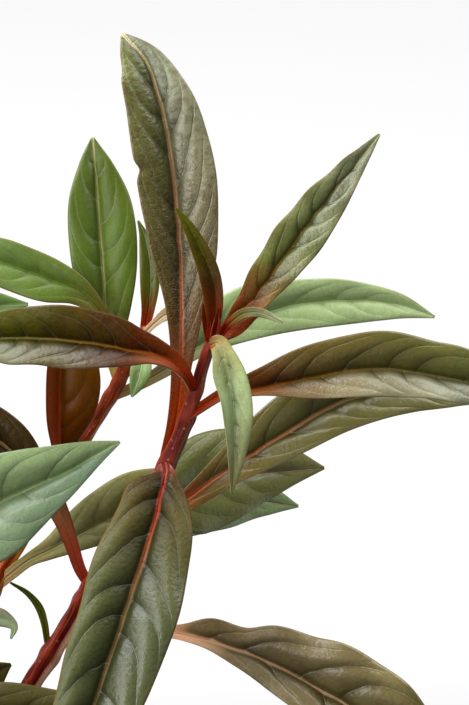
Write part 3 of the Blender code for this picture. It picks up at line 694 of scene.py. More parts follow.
    def slab(self) -> bpy.types.Object:
        """Makes the leaf's mesh flat: a grid extruded to a slab from -1 to 1.

        Returns:
            The slab.
        """
        lengths, widths = self.detail.value
        shape = bmesh.new()
        bmesh.ops.create_grid(shape, x_segments=lengths, y_segments=widths, size=1.0)
        grown = bmesh.ops.extrude_face_region(shape, geom=shape.faces[:])["geom"]
        top = [part for part in grown if isinstance(part, bmesh.types.BMVert)]
        bmesh.ops.translate(shape, vec=(0, 0, 1), verts=top)
        bmesh.ops.recalc_face_normals(shape, faces=shape.faces)
        return add_piece(f"{self.name}_blade", shape)

    def build(self) -> None:
        """Sets a slab's points on the two sides of the blade and finishes it."""
        made = self.slab()
        flat = points_of(made.data)
        share = (flat[:, 0] + 1) / 2
        across = np.sign(flat[:, 1]) * np.abs(flat[:, 1]) ** self.crowding
        above = flat[:, 2] > 0.5
        places, reach = self.middle(share, across)
        upper, lower, marks = self.relief(share, across, reach)
        height = np.where(above, upper, lower)
        set_points(made.data, (places + self.facing(share, across) * height[:, None]) * MM)
        run = share * length_of(self.table())
        marks |= {"along": share, "across": across, "under": np.where(above, 0.0, 1.0)}
        marks["scar"] = np.zeros_like(share)
        if self.scar:
            beside = (across - self.scar.across) * reach
            away = np.hypot(run - self.scar.along * length_of(self.table()), beside)
            marks["scar"] = hump(away, self.scar.size * 0.5)
        set_marks(made.data, marks)
        set_grain(made.data, run, across * reach, self.letters() % 31)
        finish_piece(made, finish_of(self.finish))
        carry(made, self.name if self.is_node else None)


def add_piece(name: str, shape: bmesh.types.BMesh) -> bpy.types.Object:
    """Puts a bmesh into the scene as one object, and frees it.

    Args:
        name: The object's name.
        shape: The bmesh.

    Returns:
        The object.
    """
    mesh = bpy.data.meshes.new(name)
    shape.to_mesh(mesh)
    shape.free()
    made = bpy.data.objects.new(name, mesh)
    bpy.context.scene.collection.objects.link(made)
    return made


def points_of(mesh: bpy.types.Mesh) -> np.ndarray:
    """Reads a mesh's points.

    Args:
        mesh: The mesh.

    Returns:
        One row for each point.
    """
    places = np.zeros(len(mesh.vertices) * 3)
    mesh.vertices.foreach_get("co", places)
    return places.reshape(-1, 3)


def set_points(mesh: bpy.types.Mesh, places: np.ndarray) -> None:
    """Moves the mesh's points to the given places, in metres."""
    mesh.vertices.foreach_set("co", places.astype(np.float32).ravel())
    mesh.update()


def set_marks(mesh: bpy.types.Mesh, marks: dict[str, np.ndarray]) -> None:
    """Keeps numbers for each point, which the materials read by name."""
    for name, values in marks.items():
        mesh.attributes.new(name, "FLOAT", "POINT").data.foreach_set("value", values.astype(np.float32))


def set_grain(mesh: bpy.types.Mesh, run: np.ndarray, aside: np.ndarray, own: float) -> None:
    """Keeps where each point lies on the piece itself.

    Args:
        mesh: The mesh.
        run: How far along the piece each point lies, in millimetres.
        aside: How far across it lies.
        own: A number that sets the piece's pattern apart from others.
    """
    places = np.column_stack([run, aside, np.full_like(run, own)])
    grain = mesh.attributes.new("grain", "FLOAT_VECTOR", "POINT")
    grain.data.foreach_set("vector", places.astype(np.float32).ravel())


def finish_piece(made: bpy.types.Object, finish: bpy.types.Material) -> None:
    """Gives the piece its one material and shades it smooth."""
    made.data.materials.append(finish)
    made.data.shade_smooth()


def carry(made: bpy.types.Object, node: str | None) -> None:
    """Rides the piece on the part's one body and hides the plain solid it stands for.

    Args:
        made: The piece.
        node: The solid that the piece replaces, where it does.
    """
    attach(made, BODY)
    if node:
        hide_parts(node)
    log.info("%s: %d faces", made.name, len(made.data.polygons))


FINISHES: dict[str, bpy.types.Material] = {}


def finish_of(finish: LeafFinish) -> bpy.types.Material:
    """Gives a leaf finish's material, which is made once.

    Args:
        finish: The finish.

    Returns:
        The material.
    """
    if finish.name not in FINISHES:
        FINISHES[finish.name] = finish.material()
    return FINISHES[finish.name]


# Blends of two to four tones, from stalk to tip. Leaves share them, mostly one for both halves.
BRONZE = "wine mahogany peat khaki"
# Greyer towards the tip: painted sheen, the lamps' reflection on the leaf half that faces them.
SHEEN_LIT_HALF = "wine chestnut taupe silver"
DUSKY = "claret mahogany cocoa pine"
FIERY = "scarlet rust khaki sage"
MOSSY = "cocoa drab loden loden"
WARM = "rust bronze olive lichen"
TANNED = "tan hazel taupe olive"
SHADED = "wine soot cocoa bog"
AUTUMN = "maroon mahogany pine ivy"
LIVELY = "maroon bark fern leaf"
FOREST = "bark olive khaki lichen"
MEADOW = "peat grass leaf jade"
FERNY = "tan khaki fern ivy"
COOL = "copper celery mint lichen"
MINTY = "tan taupe jade mint"
SUNNY = "apricot sand celery brass"
TENDER = "crimson claret brass frost"
PINK_RIB = "claret ember salmon cream"
GOLD_RIB = "claret rust ochre celery"
BROWN_RIB = "maroon brick tan taupe"
PEACH_RIB = "salmon apricot peach straw"
LIGHT_RIB = "ochre lichen celery celery"

# Leaf finishes.
TALL = LeafFinish(
    "tall", "leaf", BRONZE, SHEEN_LIT_HALF,
    PINK_RIB, "silver hazel bark sage",
    pucker=0.6, groove=0.3, wrinkle=0.9, shade=0.45, fleck_share=0.5, net_share=0.14, sheen=(0.9, 1.0),
)
LEFTWARD = LeafFinish(
    "leftward", "leaf", DUSKY, DUSKY,
    GOLD_RIB, "silver bark bronze sage", sheen=(0.9, 0.15), vein_share=0.07,
)
UPRIGHT = LeafFinish(
    "upright", "leaf", FIERY, FIERY,
    GOLD_RIB, "silver hazel bark sage",
    sheen=(0.12, 1.2), shine=0.6, pucker=0.55, wrinkle=0.6, vein_share=0.1, net_share=0.03,
)
RIGHTWARD = LeafFinish(
    "rightward", "leaf", BRONZE, SHEEN_LIT_HALF,
    GOLD_RIB, "celery taupe hazel lichen",
    sheen=(0.6, 1.0), shine=0.65, wrinkle=0.6,
)
HANGING = LeafFinish(
    "hanging", "leaf", MOSSY, MOSSY,
    BROWN_RIB, "silver hazel bark loden",
    sheen=(1.0, 0.4), vein_share=0.12, groove=0.8, pucker=0.5, shade=0.65,
)
SMALL = LeafFinish(
    "small", "leaf_green", COOL, COOL,
    COOL, "frost lichen tan lichen", shine=0.4,
)
LOW = LeafFinish(
    "low", "leaf", WARM, WARM,
    PINK_RIB, "celery taupe hazel sage", sheen=(0.8, 1.0), shine=0.6,
)
LOWER = LeafFinish(
    "lower", "leaf", TANNED, TANNED,
    PEACH_RIB, "sand taupe bark drab", shine=0.6, pucker=0.5, shade=0.4,
)
BROAD = LeafFinish(
    "broad", "leaf_green", FOREST, FOREST,
    BROWN_RIB, "lichen drab drab loden", sheen=(0.6, 0.6), shade=0.1, hollow_shade=0.6,
)
GREEN_BEHIND = LeafFinish(
    "green_behind", "leaf_green", MEADOW, MEADOW,
    LIGHT_RIB, "lichen khaki olive khaki", shade=0.0, hollow_shade=0.5,
)
INNER = LeafFinish(
    "inner", "leaf", DUSKY, DUSKY,
    DUSKY, "drab bark umber drab",
    sheen=(0.15, 0.15), groove=0.2, shade=0.1, hollow_shade=0.6, shine=0.25,
)
BACK_GREEN = LeafFinish(
    "back_green", "leaf_green", FERNY, FERNY,
    LIGHT_RIB, "jade khaki peat leaf",
    sheen=(0.6, 0.3), pucker=0.2, groove=0.0, shade=0.0, hollow_shade=0.4,
)
BACK_RIGHT = LeafFinish(
    "back_right", "leaf_green", MINTY, MINTY,
    MINTY, "jade lichen lichen lichen",
    shine=0.3, pucker=0.2, groove=0.0, shade=0.0, hollow_shade=0.4,
)
BACK_BROWN = LeafFinish(
    "back_brown", "leaf", "rust copper", "chestnut bronze", "coral flame", "hazel mahogany cocoa bark",
    sheen=(0.2, 0.2), pucker=0.2, groove=0.0, shade=0.1, hollow_shade=0.4,
)
BACK_RED = LeafFinish(
    "back_red", "leaf", AUTUMN, AUTUMN,
    AUTUMN, "lichen hazel bark olive",
    sheen=(0.5, 0.5), pucker=0.2, groove=0.0, shade=0.0, hollow_shade=0.4,
)
BACK_LEFT = replace(
    BACK_RED, name="back_left", slot="leaf_green", left=LIVELY,
    right=LIVELY, rib=LIVELY,
)
SHORT = LeafFinish("short", "leaf", "apricot sand", "apricot sand", "peach straw", "sand tan tan tan")
OLIVE = LeafFinish(
    "olive", "leaf_green", SUNNY,
    SUNNY, SUNNY,
    "lichen olive peat khaki",
    shine=0.3, pucker=0.2, groove=0.0, shade=0.0, hollow_shade=0.5,
)
FRESH = LeafFinish(
    "fresh", "leaf_green", "olive khaki leaf leaf", "olive khaki leaf leaf", "tan celery jade jade",
    "jade lichen lichen lichen", shine=0.3, pucker=0.2, groove=0.0, shade=0.0, hollow_shade=0.4,
)
PALE = replace(FRESH, name="pale", slot="leaf_pale")
CURLED = replace(
    FRESH, name="curled", left="silver silver", right="silver silver", trim="mist mahogany lichen lichen",
)
BUD = replace(
    INNER, name="bud", left="maroon wine wine soot", right="maroon wine wine soot", rib="maroon wine",
)
TINY = LeafFinish(
    "tiny", "leaf_green", TENDER,
    TENDER, TENDER,
    "mist celery lichen lichen",
)
TEAL = LeafFinish(
    "teal", "leaf_pale", "jade jade", "jade teal", "frost lime",
    "jade teal verdigris teal", shine=0.5, groove=0.2, shade=0.1, hollow_shade=0.7,
)
DARK = LeafFinish(
    "dark", "leaf", SHADED, SHADED,
    BROWN_RIB, "drab soot soot moss", sheen=(0.3, 0.3),
)
CORNER = LeafFinish(
    "corner", "leaf", "drab drab", "drab drab", "hazel drab", "khaki drab moss drab",
    sheen=(0.3, 0.3), shine=0.3,
)
TIP = replace(CORNER, name="tip", slot="leaf_green")
THIN = replace(
    TIP, name="thin", left="hazel moss pine pine", right="hazel moss pine pine", rib="hazel moss pine pine",
)
GROWN = LeafFinish(
    "grown", "leaf", "wine moss ivy loden", "wine drab drab loden", "claret rust tan lichen",
    "lichen hazel bark loden",
)

# The leaves that the photograph shows.
SEEN_LEAVES = [
    Leaf("leaf_front_hanging", (25, 10), HANGING, [
        (-15.5, -24.5, 0, 1, 1), (-15.2, -26.5, 3, 2.2, 2.6), (-15.8, -29.5, 6, 4.9, 6.4),
        (-17.3, -36.2, 11, 8.2, 8.6), (-19.9, -44.8, 16, 10.3, 10.2), (-22.3, -52, 20, 11.3, 10.4),
        (-25.5, -61.7, 24, 11.4, 9.9), (-29.5, -73.4, 28, 10.5, 9.3), (-33, -84, 31, 8.8, 8.2),
        (-37, -95, 33, 5.6, 5.4), (-41, -105, 34, 0.3, 0.3),
    ], Quilt(gap=10.4, sweep=0.8, slant=0.42, bulge=0.62, wave=0.4, wave_length=21, rib=1.4), Detail.NEAR),
    Leaf("leaf_tall", (35, 15), TALL, [
        (-15.5, -25, -2, 1.2, 1.2), (-14.7, -21.5, -4, 1.4, 1.4), (-13.6, -17.4, -5.4, 1.6, 1.6),
        (-12.5, -11.5, -6.9, 1.9, 1.8), (-11.9, -4.5, -8, 2.1, 2.2), (-11.6, 10.4, -10, 3.7, 5.2),
        (-12, 22, -11.5, 6.2, 8.2), (-12.9, 33, -12.5, 7.7, 9.3), (-14.2, 44.3, -13.5, 8.3, 9.1),
        (-16.6, 56, -14.5, 7.6, 7), (-19.5, 64, -15.5, 6.2, 4.1), (-22.6, 67.8, -16, 3.4, 2),
        (-24.8, 70.2, -16.5, 0.3, 0.3),
    ], Quilt(gap=9.2, slant=0.7, sweep=1.2, bend=2.2, bulge=0.6, wave=0.3, wave_length=19, rib=1.5),
        Detail.NEAR, scar=Scar(0.68, 1.0, 1.7, 1.0)),
    Leaf("leaf_left", (50, 8), LEFTWARD, [
        (-9.1, -8.2, 0.5, 0.8, 0.8), (-10.8, -5, 2.4, 1, 1.4), (-13.6, -2.3, 3, 1.5, 2.4),
        (-18, -0.4, 3.2, 2.2, 4), (-23.6, 0.5, 3, 3.5, 6), (-29.1, 1.6, 2.4, 5.2, 7.1),
        (-35, 2.4, 1.6, 6, 7.7), (-42, 3, 0.5, 5.9, 7.3), (-51.6, 3, -1, 5.3, 5.9),
        (-57, 2.2, -2, 2.8, 3.2), (-61, 1.3, -2.8, 0.3, 0.3),
    ], Quilt(gap=6.8, bulge=0.35, wave=0.3, wave_length=15), Detail.NEAR),
    Leaf("leaf_upper_right", (10, 35), UPRIGHT, [
        (-5.2, 0.5, -1.5, 1, 1), (-3.2, 3.4, -3.4, 1.2, 1.6), (-1.6, 5.4, -4, 1.3, 2.9),
        (2.5, 9.8, -4.6, 2.9, 3.3), (5.5, 13.5, -5, 3.9, 3.6), (10, 19.7, -5.6, 4.9, 4.9),
        (14.4, 25.9, -6.2, 5.1, 5.6), (21, 34.4, -7, 4.2, 4.4), (27.6, 42.4, -7.8, 2.3, 1.9),
        (31.9, 48, -8.3, 0.3, 0.3),
    ], Quilt(gap=7.0, bulge=0.65, wave=0.55, wave_length=11), Detail.NEAR),
    Leaf("leaf_right", (8, 45), RIGHTWARD, [
        (-10.4, -14, -0.5, 1, 1), (-6.5, -11.4, -1, 1, 1.1), (-3.5, -9.6, -1.6, 1.2, 1.2),
        (4.3, -8, -2.2, 3.9, 1.6), (15.7, -5.9, -3, 6.9, 4.2), (25.9, -4, -3.6, 8, 6),
        (33, -3.7, -4.2, 8.3, 6), (42.6, -5, -5, 7.8, 5.2), (51.4, -6.8, -6, 6.6, 4.6),
        (56.5, -8.8, -6.8, 3.8, 2.6), (61, -11.5, -7.5, 0.3, 0.3),
    ], Quilt(gap=8.6, bulge=0.46, wave=0.4, wave_length=18), Detail.NEAR),
    Leaf("leaf_small_hanging", (10, 50), SMALL, [
        (-5.4, 1.6, 0.6, 1, 1), (-3.6, 2, 3.5, 1.8, 1.9), (-2.4, -0.6, 5.8, 2.6, 2.6),
        (-1.6, -4, 7.2, 3.6, 3.2), (-0.8, -9, 8.4, 4.5, 2.7), (-0.4, -14, 9, 4.4, 2.1),
        (-0.2, -20, 9.4, 3.4, 1.5), (-0.3, -26, 9.2, 1.7, 0.9), (-0.6, -31, 8.8, 0.2, 0.2),
    ], Quilt(gap=6.0, bulge=0.22, wave=0.2, wave_length=11)),
    Leaf("leaf_low_right", (5, 40), LOW, [
        (-26.8, -43.4, -3.4, 1.1, 1.1), (-22.5, -40, -4.6, 1.2, 1.2),
        (-18.5, -37.5, -5.5, 1.3, 1.3), (-10.4, -32.3, -7.5, 2, 2.6), (-1, -25.5, -9.5, 4.4, 3.8),
        (5, -21.8, -10.5, 6.2, 4.6), (14, -16.2, -11.6, 8.3, 5.9), (23.2, -11.1, -12.6, 8.6, 6.4),
        (31, -8.8, -13.5, 8.2, 6.2), (40, -7.6, -14.5, 6.8, 5.4), (48.5, -8.6, -15.4, 4.2, 3.6),
        (55, -11, -16.2, 0.3, 0.3),
    ], Quilt(gap=9.0, bulge=0.51, wave=0.35, wave_length=19, rib=1.3), Detail.NEAR),
    Leaf("leaf_broad_behind", (0, 5), BROAD, [
        (-21.6, -33.9, -3, 1.2, 1.2), (-18.8, -32.8, -9, 1.8, 1.8), (-15.5, -31.8, -15, 5, 6),
        (-11, -30.4, -21, 8.6, 10), (-6, -29, -27, 11.2, 10.2), (-1, -28, -32, 11.4, 8.6),
        (5.6, -26.6, -38, 9.2, 6.6), (12, -26, -43, 5.8, 3.6), (19.7, -25.4, -49, 0.3, 0.3),
    ], Quilt(gap=11.0, bulge=0.41)),
    Leaf("leaf_green_behind", (5, 15), GREEN_BEHIND, [
        (-28.6, -46.4, -4, 1.1, 1.1), (-24, -42.6, -12, 1.5, 1.5), (-18.5, -39.4, -21, 2.5, 2.5),
        (-10, -36, -34, 3.6, 4.5), (-2, -33.6, -45, 5.6, 5), (6, -32.8, -53, 4.4, 3.4),
        (14, -33.8, -60, 0.3, 0.3),
    ], Quilt(gap=8.0, bulge=0.31)),
    Leaf("leaf_inner", (30, 30), INNER, [
        (-5.4, 3, 1.3, 1, 1), (-4.6, 6, 1, 1.5, 1.3), (-4.2, 9.3, 0.5, 2.3, 1.6),
        (-5.2, 17, -0.8, 2.6, 2.1), (-7.6, 22.6, -1.6, 1.9, 2), (-10.2, 27.8, -2.2, 1.2, 1.2),
        (-12.9, 31.8, -2.6, 0.2, 0.2),
    ], Quilt(gap=6.0, bulge=0.2, wave=0.15, wave_length=9)),
    Leaf("leaf_tiny", (15, 15), TINY, [
        (-3.4, 3.6, 0.8, 0.5, 0.5), (-1.2, 6.2, 0.6, 0.8, 0.8), (2, 8.6, 0.4, 1, 1),
        (5, 8.9, 0.2, 1, 1), (8, 7.9, 0, 0.8, 0.8), (10.6, 6.6, -0.2, 0.2, 0.2),
    ], Quilt(gap=5.0, bulge=0.08, wave=0.05), Detail.FAR),
    Leaf("leaf_dark_left", (15, 15), DARK, [
        (-31.6, -51.6, -4, 1, 1), (-33.8, -48, -5.4, 1.2, 1.2), (-35.8, -42.4, -6.8, 1.4, 1.5),
        (-38.8, -35, -8.5, 2, 2.3), (-44, -27, -10.5, 4.4, 3.8), (-50.5, -20.6, -12, 6.6, 6.2),
        (-57, -16.5, -13.5, 6.8, 6.6), (-64, -13, -15, 4.6, 4.6), (-71, -10.5, -16.5, 0.3, 0.3),
    ], Quilt(gap=8.5, bulge=0.41)),
    Leaf("leaf_thin_curved", (15, 15), THIN, [
        (-40.8, -66.4, -5.5, 0.5, 0.5), (-41.3, -62.6, -7, 0.6, 0.6), (-41.8, -59.5, -8, 0.7, 0.7),
        (-43, -56, -8.6, 0.8, 0.8), (-45.5, -53, -9, 0.6, 0.6), (-49.3, -50.6, -9.4, 0.2, 0.2),
    ], Quilt(gap=5.0, bulge=0.05, wave=0.05), Detail.FAR),
    Leaf("leaf_lower_right", (12, 40), LOWER, [
        (-33.8, -54.8, -4.4, 1, 1), (-30, -56.5, -4.8, 1.1, 1.1), (-25, -58.5, -5, 1.2, 1.2),
        (-13.1, -61.7, -4, 1.8, 1.2), (-6, -63.2, -3, 4.8, 2), (1.2, -65.6, -1.5, 5.5, 3.6),
        (6.5, -67.7, -0.4, 8, 4.8), (14.5, -72, 1.5, 10.5, 6.2), (24.4, -77.6, 3.5, 12, 7.4),
        (34, -84, 5, 10.6, 6.8), (44, -92, 6, 6.2, 4.4), (52, -99, 6.5, 0.3, 0.3),
    ], Quilt(gap=11.0, bulge=0.95, wave=0.8, wave_length=15, rib=1.4), Detail.NEAR),
    Leaf("back_leaf_tall", (20, 20), BACK_GREEN, [
        (-25.5, -6.5, -34, 1.1, 1.1), (-26.5, -2, -38, 1.6, 1.6), (-28.4, 10, -41.5, 4.8, 5.8),
        (-29.1, 20.4, -44, 6.8, 7.8), (-29.7, 28, -46, 7, 7.9), (-30.2, 35, -48, 6, 6.8),
        (-30.8, 42, -50, 3.4, 3.6), (-31.2, 47.3, -52, 0.3, 0.3),
    ], Quilt(gap=8.0, bulge=0.36)),
    Leaf("back_leaf_left", (35, 10), BACK_LEFT, [
        (-24, -3.5, -34, 1, 1), (-27, 3, -33, 1.2, 1.2), (-29.5, 9, -33.5, 1.6, 1.4),
        (-34, 13.3, -34.5, 3.2, 2.8), (-40.6, 16.4, -36, 5.6, 4.4), (-47.2, 18.8, -37, 5.8, 4.8),
        (-54, 21, -38, 5.2, 4.6), (-62, 22.6, -39, 3.2, 3), (-69, 23.2, -40, 0.3, 0.3),
    ], Quilt(gap=7.5, bulge=0.36)),
    Leaf("back_leaf_small", (20, 20), BACK_RED, [
        (-19.9, 4.5, -35.6, 0.9, 0.9), (-19, 9.5, -37, 1.4, 1.4), (-18.6, 15, -38, 2.1, 2.1),
        (-19, 21.5, -39, 2, 2), (-20, 26, -40, 1, 1), (-21.2, 29, -40.5, 0.2, 0.2),
    ], Quilt(gap=6.0, bulge=0.2), Detail.FAR),
    Leaf("back_leaf_short", (15, 15), SHORT, [
        (-20.4, 3.6, -35, 0.7, 0.7), (-17.4, 6.6, -33.6, 0.8, 0.8), (-15, 8.4, -32.8, 1.4, 1.4),
        (-12.5, 9.2, -32.4, 2.2, 2.2), (-9.4, 9.6, -32, 0.3, 0.3),
    ], Quilt(gap=5.0, bulge=0.1), Detail.FAR),
    Leaf("back_leaf_hanging", (15, 15), FRESH, [
        (-20.8, 2.4, -34, 0.8, 0.8), (-20.2, -0.5, -31, 1.4, 1.4), (-20.8, -4, -29, 2.4, 2.2),
        (-21.6, -7, -28, 1.8, 1.6), (-22.6, -9.8, -27.5, 0.2, 0.2),
    ], Quilt(gap=5.0, bulge=0.1), Detail.FAR),
    Leaf("back_leaf_right", (10, 30), BACK_RIGHT, [
        (-27, -9.8, -34, 1, 1), (-22, -7.6, -37, 1.2, 1.2), (-16, -4.2, -39.5, 1.6, 1.6),
        (-7.7, 1.6, -41.5, 5, 2.6), (2.3, 7, -43.5, 7.3, 4.6), (14.4, 10.8, -45.5, 5.4, 5.9),
        (25.4, 11.6, -47, 4.2, 5.4), (36.4, 10.5, -49, 2.4, 3.2), (44, 7.8, -50, 0.3, 0.3),
    ], Quilt(gap=9.0, bulge=0.36)),
    Leaf("back_leaf_brown", (50, 5), BACK_BROWN, [
        (-38.2, -27.4, -31, 1, 1.1), (-38.4, -22, -27.4, 1.6, 3), (-38.6, -16, -26, 2.6, 6.5),
        (-38.5, -10, -25.5, 3, 8.6), (-38.3, -4, -25.5, 3, 8.8), (-37.8, 2, -26, 2.4, 6.5),
        (-37, 7, -26.5, 0.3, 0.3),
    ], Quilt(gap=7.0, bulge=0.36)),
    Leaf("back_leaf_olive", (8, 12), OLIVE, [
        (-53.8, -52.4, -30, 1.2, 1.2), (-49, -48.5, -29, 1.3, 1.3), (-45, -45.5, -28.5, 1.4, 1.4),
        (-41, -43.6, -28.5, 2.4, 2), (-36, -41, -28.5, 4.4, 3.2), (-28.5, -37, -28, 6.8, 5),
        (-22, -33.5, -28.5, 7.2, 4.8), (-16, -30.4, -30.5, 5.4, 3.2), (-11, -28, -33, 2.8, 1.8),
        (-7.5, -26.4, -35, 0.3, 0.3),
    ], Quilt(gap=8.5, bulge=0.31)),
    Leaf("left_leaf_broad", (10, 25), TEAL, [
        (-99.5, -61.5, 5, 1.2, 1.2), (-92, -56.5, 5.5, 1.6, 1.6), (-84.5, -51.5, 5.5, 4, 4.5),
        (-75, -46, 5, 7.5, 8.5), (-65, -40.2, 4.5, 9.8, 11), (-51.6, -32.9, 3.5, 10.4, 11.2),
        (-45, -29.8, 3, 9, 8.6), (-38.4, -27, 2.5, 7, 5.4), (-30.2, -22.4, 2, 3.3, 2.1),
        (-25.2, -19.7, 1.7, 0.3, 0.3),
    ], Quilt(gap=9.5, bulge=0.41), Detail.NEAR),
    Leaf("left_leaf_upper", (5, 15), PALE, [
        (-108, -18, 18.8, 1.1, 1.1), (-102, -13, 15, 1.6, 1.6), (-90, -5, 8, 4.2, 4.2),
        (-76, 2.5, 1, 5.4, 5.2), (-63, 7.5, -4.5, 4.8, 4.4), (-53, 10.2, -8, 3.2, 2.8),
        (-45.4, 10.6, -9.8, 0.3, 0.3),
    ], Quilt(gap=9.0, bulge=0.31)),
    Leaf("left_leaf_curled", (15, 15), CURLED, [
        (-98, -74, 1, 1, 1), (-90, -71.5, 3, 1.6, 1.6), (-78, -68, 5, 4.5, 4),
        (-66, -63.5, 6.5, 5, 4.6), (-57, -60, 7.5, 3.8, 3.4), (-51, -58.6, 8.2, 2, 1.8),
        (-48.5, -60.5, 8.6, 0.9, 0.9), (-49.2, -63, 9, 0.2, 0.2),
    ], Quilt(gap=8.0, bulge=0.31)),
    Leaf("left_leaf_tip", (10, 10), TIP, [
        (-97.5, -84, 0, 1, 1), (-88, -81, -5, 2.4, 2.4), (-75, -77.5, -10, 5, 4.6),
        (-62, -74, -14, 5.2, 4.8), (-53.5, -71, -16.5, 3.6, 3.4), (-49.2, -68.6, -18, 0.3, 0.3),
    ], Quilt(gap=8.0, bulge=0.31)),
    Leaf("left_leaf_corner", (5, 20), CORNER, [
        (-96.5, -90, -3, 1.2, 1.2), (-89, -86.5, 1.5, 2, 1.8), (-75, -82, 5, 6, 4.4),
        (-60, -80.2, 8, 7.4, 6), (-50, -79.8, 10, 7.2, 6), (-40, -80, 12, 6, 5),
        (-30, -80, 14, 3.6, 3), (-22, -79.6, 15.5, 0.3, 0.3),
    ], Quilt(gap=9.0, bulge=0.36)),
    Leaf("main_bud_left", (25, 25), BUD, [
        (-5.5, 2.5, 1.2, 0.8, 0.8), (-5.9, 5.5, 1.4, 1, 0.9), (-6.4, 8.5, 1.2, 0.8, 0.7),
        (-6.9, 10.8, 0.9, 0.15, 0.15),
    ], Quilt(gap=4.0, bulge=0.05, wave=0.05), Detail.FAR, is_node=False),
    Leaf("main_bud_right", (45, 45), BUD, [
        (-4.6, 3, 1.6, 0.8, 0.8), (-4, 5.5, 1.8, 0.9, 0.8), (-3.6, 8, 1.5, 0.6, 0.5),
        (-3.4, 9.8, 1.3, 0.15, 0.15),
    ], Quilt(gap=4.0, bulge=0.05, wave=0.05), Detail.FAR, is_node=False),
]

# Where the hidden leaves grow: share of the stem, compass bearing, length, half width, rise, droop and sweep.
GROWN_LEAVES = {
    "main_stem": [(0.1, 8, 55, 7.5, 4, 7, 4), (0.14, 245, 52, 7, -4, 7, -3), (0.22, 326, 62, 8.5, -10, 8, 5)],
    "back_stem": [(0.12, 150, 60, 8, 2, 8, 4), (0.24, 118, 62, 8.5, 6, 9, -4), (0.36, 186, 50, 7, 8, 7, 3)],
    "left_stem": [
        (0.22, 264, 44, 6, -12, 7, 3), (0.46, 196, 74, 9.5, 4, 10, -5), (0.58, 128, 70, 9, 12, 10, 4),
        (0.72, 206, 58, 8, 22, 8, 3), (0.82, 152, 48, 6.5, 38, 6, -3), (0.92, 262, 32, 4.5, 50, 4, 2),
        (1.0, 330, 24, 3.2, 66, 2.5, 1),
    ],
    "front_stem": [
        (0.14, 210, 56, 7.5, -12, 8, 4), (0.28, 292, 60, 8, -6, 8, -4), (0.44, 172, 68, 9, 4, 9, 5),
        (0.58, 256, 62, 8.5, 12, 8, -4), (0.7, 12, 44, 6, 26, 6, 3), (0.82, 140, 42, 5.5, 38, 5, 2),
        (0.88, 250, 30, 3.8, 48, 3, 1.5), (1.0, 60, 20, 2.8, 68, 2, 1),
    ],
    "side_stem": [
        (0.3, 262, 44, 6, -10, 6, 3), (0.56, 12, 46, 6.5, 0, 6, -3), (0.8, 302, 36, 5, 22, 4, 2),
        (1.0, 130, 22, 3.2, 56, 2.5, 1),
    ],
}

# A grown leaf's outline: the shares of its length at which it is measured, how far its stalk reaches to
# either side, where its blade starts, and how full the blade is towards its base and its tip.
GROWN_SHARES = (0, 0.1, 0.2, 0.32, 0.46, 0.6, 0.74, 0.88, 1)
GROWN_STALK_REACH = 1.04
GROWN_LIFTS = (22, 22)
BLADE_START = 0.1
BLADE_FULLNESS = (0.9, 1.05)


def blade_share(share: float) -> float:
    """How wide a grown leaf's blade is.

    Args:
        share: How far along the leaf, from 0 to 1.

    Returns:
        Its width there against its widest.
    """
    rise, fall = BLADE_FULLNESS
    part = max(0.0, (share - BLADE_START) / (1 - BLADE_START))
    best = rise / (rise + fall)
    return part**rise * (1 - part) ** fall / (best**rise * (1 - best) ** fall)


@dataclass(frozen=True)
class StemFinish:
    """A stem's colours: a row of tones from foot to tip, painted highlight on its raised edges, and a paler
    flank of painted reflected light.
    """

    name: str
    tones: str
    edge: str
    lit_flank: str
    ridge_highlight_share: float = 0.25
    dark_share: float = 0.8
    furrow_shade_share: float = 0.45
    highlight_streak_share: float = 0.2
    joint_share: float = 0.35
    relief_depth: float = 0.0005
    rough: float = 0.32
    shine: float = 0.1

    def material(self) -> bpy.types.Material:
        """Makes the shader: tones along the stem, streaks, painted highlight on the edges and pale streaks,
        painted shade in the furrows, a painted lit flank and small pale dots.

        Returns:
            The material.
        """
        sheet = Sheet(self.name)
        grain, edge = sheet.grain(), sheet.mark("edge")
        inputs = {0: grain, 1: (0.1, 2.0, 1.0)}
        stretched = sheet.add("ShaderNodeVectorMath", inputs, operation="MULTIPLY").outputs[0]
        streak = sheet.cloud(stretched, 1.2, 4.0)
        along = sheet.scaled(streak, 0.2, sheet.sum("ADD", sheet.mark("along"), -0.1))
        dots = sheet.add("ShaderNodeTexVoronoi", {"Vector": grain, "Scale": 0.55}).outputs["Distance"]
        dotted = sheet.sum("SUBTRACT", 0.5, sheet.rise(dots, 0.1, 0.24))
        body = sheet.layers(sheet.tones(along, self.tones), [
            # Painted highlight on the raised edges.
            (edge, self.ridge_highlight_share, TONES[self.edge], Blend.COVER),
            (sheet.fall(streak, 0.36, 0.54), self.dark_share, FURROW_SHADE_AND_STREAK_TINT, Blend.TINT),
            # Painted shade in the furrows between the ridges.
            (sheet.fall(edge, 0.0, 0.3), self.furrow_shade_share, FURROW_SHADE_AND_STREAK_TINT, Blend.TINT),
            # Painted highlights along the pale streaks.
            (sheet.rise(streak, 0.57, 0.68), self.highlight_streak_share, STREAK_HIGHLIGHT_TINT, Blend.COVER),
            # Painted reflected light on the lit flank.
            (sheet.mark("lit_flank"), 1.0, TONES[self.lit_flank], Blend.COVER),
            (dotted, 1.0, DOT_TINT, Blend.COVER),
            (sheet.mark("node"), self.joint_share, JOINT_TINT, Blend.COVER),
        ])
        return sheet.finish(
            Base_Color=body,
            Roughness=self.rough,
            Normal=sheet.bump(streak, self.relief_depth, 0.7),
            Specular_IOR_Level=self.shine,
        )


